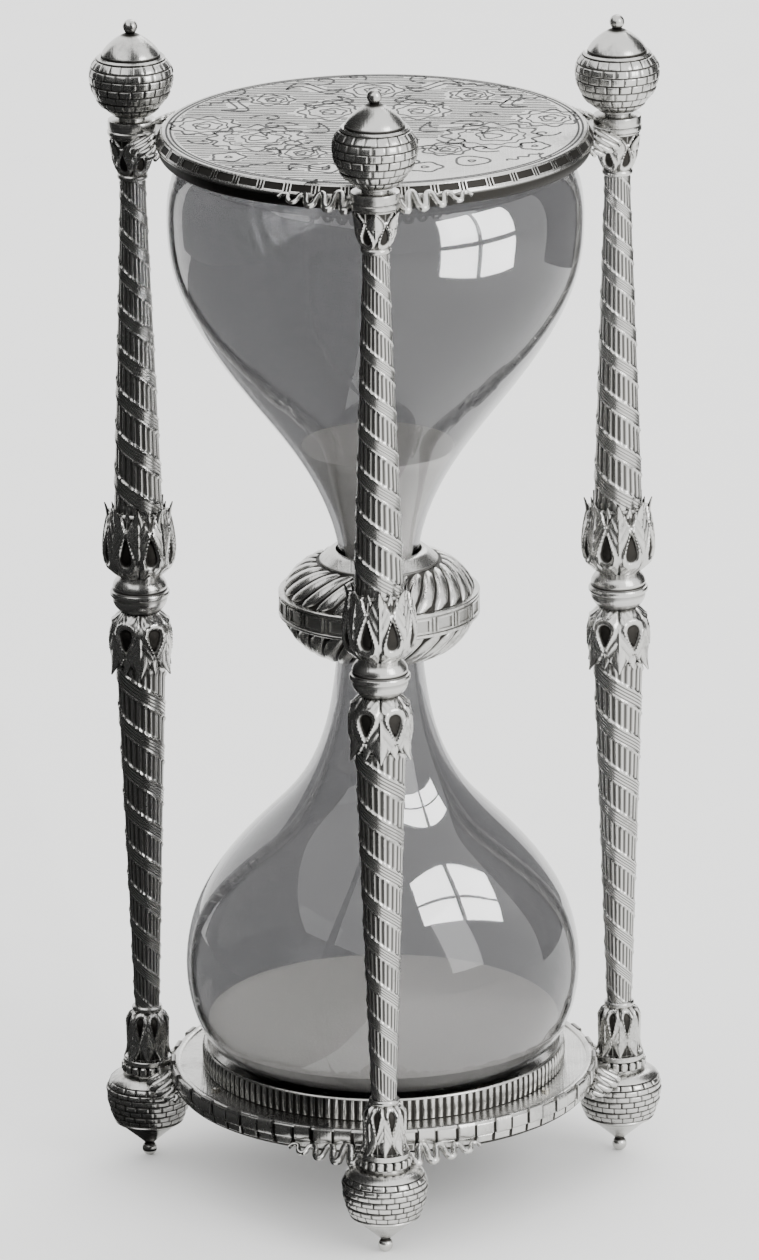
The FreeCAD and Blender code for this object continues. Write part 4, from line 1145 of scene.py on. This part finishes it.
def pattern_lines(edge):
    """The lines of the pattern, each with its share of the full width."""
    lines = []
    for x, y, radius, lobes in ROSETTES:
        lines.append((rosette(x, y, radius, lobes), 1.3))
        if radius > 4:
            lines.append((rosette(x, y, radius * 0.72, lobes, 0.3, 0.05), 0.9))
            lines.append((rosette(x + 0.1 * radius, y, radius * 0.42, 5, 1.0, 0.12), 1.0))
        lines.append((rosette(x, y, radius * 0.2, 3, x, 0.15), 1.0))
    for leaf in LEAVES:
        lines += [(line, 1.2) for line in leaf_scroll(*leaf)]
    lines += [(curl(*item), 1.2) for item in CURLS]
    lines += [(wave(*item), 1.2) for item in WAVES]
    for radius in (edge, edge - 0.9):
        angle = np.linspace(0, TURN, 181)
        lines.append((np.stack([radius * np.cos(angle), radius * np.sin(angle)], 1), 1.1))
    return lines


def ground_lines(edge, gap):
    """The fine lines of the ground. They leave the pattern free, and leave the front right of the plate bare
    as a painted highlight.
    """
    lines = []
    for row, y in enumerate(np.arange(-edge + 1.6, edge - 1.5, gap)):
        xs = np.arange(-edge, edge, 0.35)
        wobble = 0.08 * np.sin(xs * 0.35 + row * 1.7)
        clear = np.hypot(xs, y) < edge - 1.5
        # painted highlight: no ground lines on the front right of the plate, where it catches the light
        clear &= ~((y < -9 + 0.35 * (xs - 12)) & (xs > 7 + 0.2 * y))
        for px, py, radius, _ in ROSETTES:
            far = np.hypot(xs - px, y - py)
            clear &= (far > radius + 0.5) | ((far < radius * 0.66) & (far > radius * 0.5) & (radius > 8))
        for px, py, size, turn, _ in LEAVES:
            cx, cy = px + size / 2 * math.cos(turn), py + size / 2 * math.sin(turn)
            clear &= np.hypot(xs - cx, y - cy) > size * 0.22
        for part in stretches(clear, 5):
            pick = part[::max(1, len(part) // 10)]
            lines.append((np.stack([xs[pick], y + wobble[pick]], 1), 0.75))
    return lines


def build_engraving(sizes, colours):
    """The top plate's inlaid pattern over its ground of fine straight lines."""
    _, level = span("top_plate")
    width, edge = sizes.line_width * 1000, 44.6
    lines = pattern_lines(edge) + ground_lines(edge, sizes.hatch_gap * 1000)
    meshes = [strip(line[part], width * share) for line, share in lines
              for part in stretches(np.hypot(*line.T) < edge + 0.1, 3)]
    finish_piece("fine_plate_engraving", fused(meshes), niello(colours), at=(0, 0, level))


# ---- glass and sand -------------------------------------------------------------------------------------

# Each point is a share of the bulb's length from the neck, then of the way from the neck's radius to the
# belly's.
BULBS = {
    "upper": ((0.0, 0.0), (0.12, 0.008), (0.21, 0.08), (0.30, 0.208), (0.47, 0.558), (0.645, 0.878),
              (0.735, 0.97), (0.825, 1.0), (0.92, 0.975), (0.975, 0.89), (1.0, 0.76)),
    "lower": ((0.0, 0.0), (0.10, 0.02), (0.18, 0.046), (0.31, 0.142), (0.395, 0.284), (0.48, 0.525),
              (0.567, 0.759), (0.653, 0.916), (0.78, 1.0), (0.867, 0.971), (0.96, 0.82), (1.0, 0.55)),
}


def bulb_line(half, inset):
    """A bulb's outline, or the same set in by a distance, as rows of radius and height."""
    length, belly = height_of(f"{half}_bulb"), width_of(f"{half}_bulb")
    points = [(NECK + (belly - NECK) * across, length * along) for along, across in BULBS[half]]
    line = smooth_line(points, 12)
    along = np.gradient(line, axis=0)
    along /= np.linalg.norm(along, axis=1)[:, None]
    line = line + inset * np.stack([-along[:, 1], along[:, 0]], 1)
    line[:, 1] = np.clip(line[:, 1], 0, length - inset)
    return line


def build_glass(colours):
    for half in ENDS:
        node = f"{half}_bulb"
        outer, inner = bulb_line(half, 0.0), bulb_line(half, GLASS_WALL)
        outline = [(r, z, 1) for r, z in outer] + [(1e-5, outer[-1][1], 1)]
        inside = [(1e-5, inner[-1][1], 1)] + [(r, z, 1) for r, z in inner[::-1]]
        shell = lathe(outline + inside, 144)
        on_axis(node, [shell], glass(colours), inner_end(node, half), half == "lower", 60)


def heap(rim, level, rise, wide, shares):
    """A level sand surface with a straight-sided cone in its middle, or a pit where the rise is below 0."""
    return [(rim * t, level + rise * (1 - min(1, rim * t / wide)), 1) for t in shares]


def build_sand(colours):
    """The sand: a pit in the upper bulb, over the neck, and a mound in the lower one."""
    material = grainy("Fine sand", colours.sand, 0.72, 1800.0, 0.5)
    for half, rise, wide in (("upper", -2.2, 22.0), ("lower", -2.5, 21.0)):
        node = f"{half}_sand"
        bulb_end = inner_end(f"{half}_bulb", half)
        near_end, far_end = sorted(abs(level - bulb_end) for level in span(node))
        wall = bulb_line(half, GLASS_WALL + SAND_GAP)
        if half == "upper":
            rows = [(r, z, 1) for r, z in wall if near_end + 0.1 < z < far_end - 0.05]
            surface = heap(rows[-1][0], far_end, rise, wide, np.linspace(0.98, 0.02, 24))
            outline = [(1e-5, rows[0][1], 1)] + rows + surface + [(1e-5, far_end + rise, 1)]
        else:
            level = near_end - rise
            rows = [(r, z, 1) for r, z in wall if level < z]
            surface = heap(rows[0][0], level, rise, wide, np.linspace(0.02, 0.98, 24))
            outline = [(1e-5, level + rise, 1)] + surface + rows + [(1e-5, rows[-1][1], 1)]
        on_axis(node, [lathe(outline, 96, ring=False)], material, bulb_end, half == "lower", 60)


# ---- pieces kept from the frame -------------------------------------------------------------------------

def paint_kept(colours):
    """Gives the nodes that stay as they are the materials of the finished pieces."""
    steel = metal("Steel rod", (0.52, 0.53, 0.54), (0.10, 0.09, 0.085), film=0.3)
    pins = metal("Brass pins", (0.60, 0.57, 0.50), colours.patina_and_shade, film=0.4)
    leather = grainy("Leather pad", colours.leather, 0.5, 1500.0, 0.4)
    thread = grainy("Waxed binding", colours.binding, 0.5, 2400.0, 0.5)
    kept = {"top_dowels": pins, "bottom_rivets": pins, "top_cushion": leather, "bottom_cushion": leather,
            "neck_binding": thread, "orifice_plate": pins}
    kept.update({f"{post}_tie_rod": steel for post in POSTS})
    for name, material in kept.items():
        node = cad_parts[name]
        for slot in node.material_slots:
            slot.material = material
        if not node.material_slots:
            node.data.materials.append(material)


# ---- stage ----------------------------------------------------------------------------------------------

def add_light(name, place, target, size, power, tall=None):
    light = bpy.data.lights.new(name, "AREA")
    light.shape = "RECTANGLE"
    light.size, light.size_y = size, tall or size
    light.energy = power
    holder = bpy.data.objects.new(name, light)
    holder.location = place
    holder.rotation_euler = (Vector(target) - Vector(place)).to_track_quat("-Z", "Y").to_euler()
    bpy.context.scene.collection.objects.link(holder)
    return holder


def add_sheet(name, corners, material):
    """A flat sheet through its corners, in metres."""
    mesh = bpy.data.meshes.new(name)
    mesh.from_pydata(corners, [], [tuple(range(len(corners)))])
    mesh.materials.append(material)
    sheet = bpy.data.objects.new(name, mesh)
    bpy.context.scene.collection.objects.link(sheet)
    return sheet


def add_windows():
    """A window of four panes for each bulb, low for the upper one and high for the lower one. Each window is
    mirrored in its own bulb only."""
    panes = []
    for half, level, azimuth, elevation, roll, wide, tall in (("upper", 0.22, 57, -2, 0, 0.54, 0.80),
                                                              ("lower", 0.078, 69, 45, -28, 0.60, 0.22)):
        aim = Vector((0, 0, level))
        turn, rise = math.radians(azimuth), math.radians(elevation)
        away = Vector((math.sin(turn) * math.cos(rise), -math.cos(turn) * math.cos(rise), math.sin(rise)))
        centre = aim + 0.62 * away
        facing = (aim - centre).to_track_quat("-Z", "Y") @ Quaternion((0, 0, 1), math.radians(roll))
        only = bpy.data.collections.new(f"lit_{half}_bulb")
        only.objects.link(bpy.data.objects[f"fine_{half}_bulb"])
        for across in (-0.25, 0.25):
            for along in (-0.25, 0.25):
                offset = facing @ Vector((across * wide, along * tall, 0))
                pane = add_light(f"pane_{len(panes)}", centre + offset, aim + offset, wide * 0.45,
                                 wide * tall * 34, tall * 0.45)
                pane.rotation_euler = facing.to_euler()
                pane.light_linking.receiver_collection = only
                panes.append(pane)
    return panes


def add_black_cards():
    """Cards that only mirrors see, so that the metal has dark sides. The last one lies on the floor."""
    black = bpy.data.materials.new("Black card")
    black.use_nodes = True
    shader = black.node_tree.nodes["Principled BSDF"]
    shader.inputs["Base Color"].default_value = (0.01, 0.01, 0.01, 1)
    shader.inputs["Roughness"].default_value = 1.0
    low, high = 0.002, 0.75
    feet = (((-0.10, -1.40), (-0.80, -0.55)), ((-0.80, -0.55), (-0.55, 0.45)), ((0.30, 0.50), (0.62, 0.16)),
            ((-0.060, -0.095), (-0.012, -0.040)))
    shapes = [[(*start, low), (*end, low), (*end, high), (*start, high)] for start, end in feet]
    lying = ((-0.02, -1.4), (-0.035, -0.09), (-0.10, 0.35), (-1.0, 0.35), (-1.0, -1.4))
    shapes.append([(x, y, 0.001) for x, y in lying])
    cards = []
    for shape in shapes:
        card = add_sheet(f"card_{len(cards)}", shape, black)
        card.visible_camera = card.visible_diffuse = card.visible_shadow = False
        card.visible_transmission = False
        cards.append(card)
    return cards


def add_camera():
    """A long lens that looks down on the hourglass from the front."""
    distance, elevation, roll = 2.2, math.radians(17.97), math.radians(-0.57)
    target = Vector((0, 0, 0.12393))
    lens = bpy.data.cameras.new("camera")
    lens.sensor_fit = "VERTICAL"
    lens.sensor_height = 36
    lens.lens = 289.2
    lens.clip_start, lens.clip_end = 0.05, 20
    camera = bpy.data.objects.new("camera", lens)
    bpy.context.scene.collection.objects.link(camera)
    camera.location = target + distance * Vector((0, -math.cos(elevation), math.sin(elevation)))
    look = (target - camera.location).to_track_quat("-Z", "Y").to_matrix().to_4x4()
    camera.rotation_euler = (look @ Matrix.Rotation(roll, 4, "Z")).to_euler()
    bpy.context.scene.camera = camera
    return camera


def build_stage(colours):
    """A pale floor under a white sky, with windows, soft lights, dark cards and the camera."""
    reach = 4
    corners = [(-reach, -reach, 0), (reach, -reach, 0), (reach, reach, 0), (-reach, reach, 0)]
    floor = add_sheet("floor", corners, grainy("Floor", colours.floor, 0.97, 40.0, 0.02))
    panes = add_windows()
    middle = Vector((0, 0, 0.13))
    key = add_light("key", (0.95, -0.75, 0.75), middle, 0.5, 9.0, 0.9)
    fill = add_light("fill", (-1.1, -0.9, 0.9), middle, 0.9, 1.5)
    back = add_light("back", (0.5, 1.2, 1.1), middle, 1.0, 7.0)
    cards = add_black_cards()
    world = bpy.data.worlds.new("studio")
    world.use_nodes = True
    sky = world.node_tree.nodes["Background"]
    sky.inputs["Color"].default_value = (1, 1, 1, 1)
    sky.inputs["Strength"].default_value = 2.0
    bpy.context.scene.world = world
    camera = add_camera()


# ---- operators and panel --------------------------------------------------------------------------------

class HOURGLASS_OT_shafts(Operator):
    """Builds the ribboned shafts of the posts"""
    bl_idname = "hourglass.shafts"
    bl_label = "Shafts"

    def execute(self, context):
        build_shafts(context.scene.hourglass_sizes, context.scene.hourglass_colours)
        return {"FINISHED"}


class HOURGLASS_OT_knops(Operator):
    """Builds the knops at the middle of the posts"""
    bl_idname = "hourglass.knops"
    bl_label = "Knops"

    def execute(self, context):
        build_knops(context.scene.hourglass_colours)
        return {"FINISHED"}


class HOURGLASS_OT_calyxes(Operator):
    """Builds the leaf cups above and below the knops"""
    bl_idname = "hourglass.calyxes"
    bl_label = "Calyxes"

    def execute(self, context):
        build_calyxes(context.scene.hourglass_sizes, context.scene.hourglass_colours)
        return {"FINISHED"}


class HOURGLASS_OT_capitals(Operator):
    """Builds the capitals at the thin ends of the shafts"""
    bl_idname = "hourglass.capitals"
    bl_label = "Capitals"

    def execute(self, context):
        build_capitals(context.scene.hourglass_sizes, context.scene.hourglass_colours)
        return {"FINISHED"}


class HOURGLASS_OT_cups(Operator):
    """Builds the bricked cups beyond the plates"""
    bl_idname = "hourglass.cups"
    bl_label = "Cups"

    def execute(self, context):
        build_cups(context.scene.hourglass_sizes, context.scene.hourglass_colours)
        return {"FINISHED"}


class HOURGLASS_OT_cap_nuts(Operator):
    """Builds the domed cap nuts with their tip balls"""
    bl_idname = "hourglass.cap_nuts"
    bl_label = "Cap nuts"

    def execute(self, context):
        build_cap_nuts(context.scene.hourglass_colours)
        return {"FINISHED"}


class HOURGLASS_OT_top_plate(Operator):
    """Builds the top plate with its panelled border, its eyes and its moulding"""
    bl_idname = "hourglass.top_plate"
    bl_label = "Top plate"

    def execute(self, context):
        build_top_plate(context.scene.hourglass_sizes, context.scene.hourglass_colours)
        build_top_rim(context.scene.hourglass_colours)
        return {"FINISHED"}


class HOURGLASS_OT_engraving(Operator):
    """Inlays the pattern of the top plate"""
    bl_idname = "hourglass.engraving"
    bl_label = "Engraving"

    def execute(self, context):
        build_engraving(context.scene.hourglass_sizes, context.scene.hourglass_colours)
        return {"FINISHED"}


class HOURGLASS_OT_bottom_plate(Operator):
    """Builds the bottom plate with its blocks, its rim, its eyes and its rivets"""
    bl_idname = "hourglass.bottom_plate"
    bl_label = "Bottom plate"

    def execute(self, context):
        build_bottom_plate(context.scene.hourglass_sizes, context.scene.hourglass_colours)
        build_bottom_rim(context.scene.hourglass_sizes, context.scene.hourglass_colours)
        build_rivet_heads(context.scene.hourglass_colours)
        return {"FINISHED"}


class HOURGLASS_OT_seat_ring(Operator):
    """Builds the fluted ring that the lower bulb stands in"""
    bl_idname = "hourglass.seat_ring"
    bl_label = "Seat ring"

    def execute(self, context):
        build_seat_ring(context.scene.hourglass_sizes, context.scene.hourglass_colours)
        return {"FINISHED"}


class HOURGLASS_OT_collar(Operator):
    """Builds the gadrooned collar round the necks of the bulbs"""
    bl_idname = "hourglass.collar"
    bl_label = "Collar"

    def execute(self, context):
        build_collar_domes(context.scene.hourglass_sizes, context.scene.hourglass_colours)
        build_collar_belt(context.scene.hourglass_sizes, context.scene.hourglass_colours)
        build_collar_skirt(context.scene.hourglass_colours)
        return {"FINISHED"}


class HOURGLASS_OT_scrolls(Operator):
    """Builds the serpentine wires beside the posts"""
    bl_idname = "hourglass.scrolls"
    bl_label = "Scrolls"

    def execute(self, context):
        build_scrolls(context.scene.hourglass_colours)
        return {"FINISHED"}


class HOURGLASS_OT_glass(Operator):
    """Builds the two blown bulbs"""
    bl_idname = "hourglass.glass"
    bl_label = "Glass"

    def execute(self, context):
        build_glass(context.scene.hourglass_colours)
        return {"FINISHED"}


class HOURGLASS_OT_sand(Operator):
    """Builds the sand in the bulbs"""
    bl_idname = "hourglass.sand"
    bl_label = "Sand"

    def execute(self, context):
        build_sand(context.scene.hourglass_colours)
        return {"FINISHED"}


class HOURGLASS_OT_kept(Operator):
    """Paints the rods, pads, pins and binding that stay as they are"""
    bl_idname = "hourglass.kept"
    bl_label = "Kept pieces"

    def execute(self, context):
        paint_kept(context.scene.hourglass_colours)
        return {"FINISHED"}


class HOURGLASS_OT_stage(Operator):
    """Builds the floor, the lights and the camera"""
    bl_idname = "hourglass.stage"
    bl_label = "Stage"

    def execute(self, context):
        build_stage(context.scene.hourglass_colours)
        return {"FINISHED"}


BUILDERS = (HOURGLASS_OT_shafts, HOURGLASS_OT_knops, HOURGLASS_OT_calyxes, HOURGLASS_OT_capitals,
            HOURGLASS_OT_cups, HOURGLASS_OT_cap_nuts, HOURGLASS_OT_top_plate, HOURGLASS_OT_engraving,
            HOURGLASS_OT_bottom_plate, HOURGLASS_OT_seat_ring, HOURGLASS_OT_collar, HOURGLASS_OT_scrolls,
            HOURGLASS_OT_glass, HOURGLASS_OT_sand, HOURGLASS_OT_kept, HOURGLASS_OT_stage)


class HOURGLASS_PT_builder(Panel):
    """Lists the hourglass's sizes, colours and pieces"""
    bl_idname = "HOURGLASS_PT_builder"
    bl_label = "Hourglass"
    bl_space_type = "VIEW_3D"
    bl_region_type = "UI"
    bl_category = "Hourglass"

    def draw(self, context):
        for settings in (context.scene.hourglass_sizes, context.scene.hourglass_colours):
            for name in settings.__annotations__:
                self.layout.prop(settings, name)
        for builder in BUILDERS:
            self.layout.operator(builder.bl_idname)


CLASSES = (HourglassSizes, HourglassColours) + BUILDERS + (HOURGLASS_PT_builder,)


def register():
    for cls in CLASSES:
        bpy.utils.register_class(cls)
    bpy.types.Scene.hourglass_sizes = PointerProperty(type=HourglassSizes)
    bpy.types.Scene.hourglass_colours = PointerProperty(type=HourglassColours)


def unregister():
    del bpy.types.Scene.hourglass_colours
    del bpy.types.Scene.hourglass_sizes
    for cls in reversed(CLASSES):
        bpy.utils.unregister_class(cls)


def main():
    register()
    for builder in BUILDERS:
        call = getattr(bpy.ops.hourglass, builder.bl_idname.split(".")[1])
        if call() != {"FINISHED"}:
            raise RuntimeError(f"{builder.bl_label}: not finished")


if __name__ == "__main__":
    main()
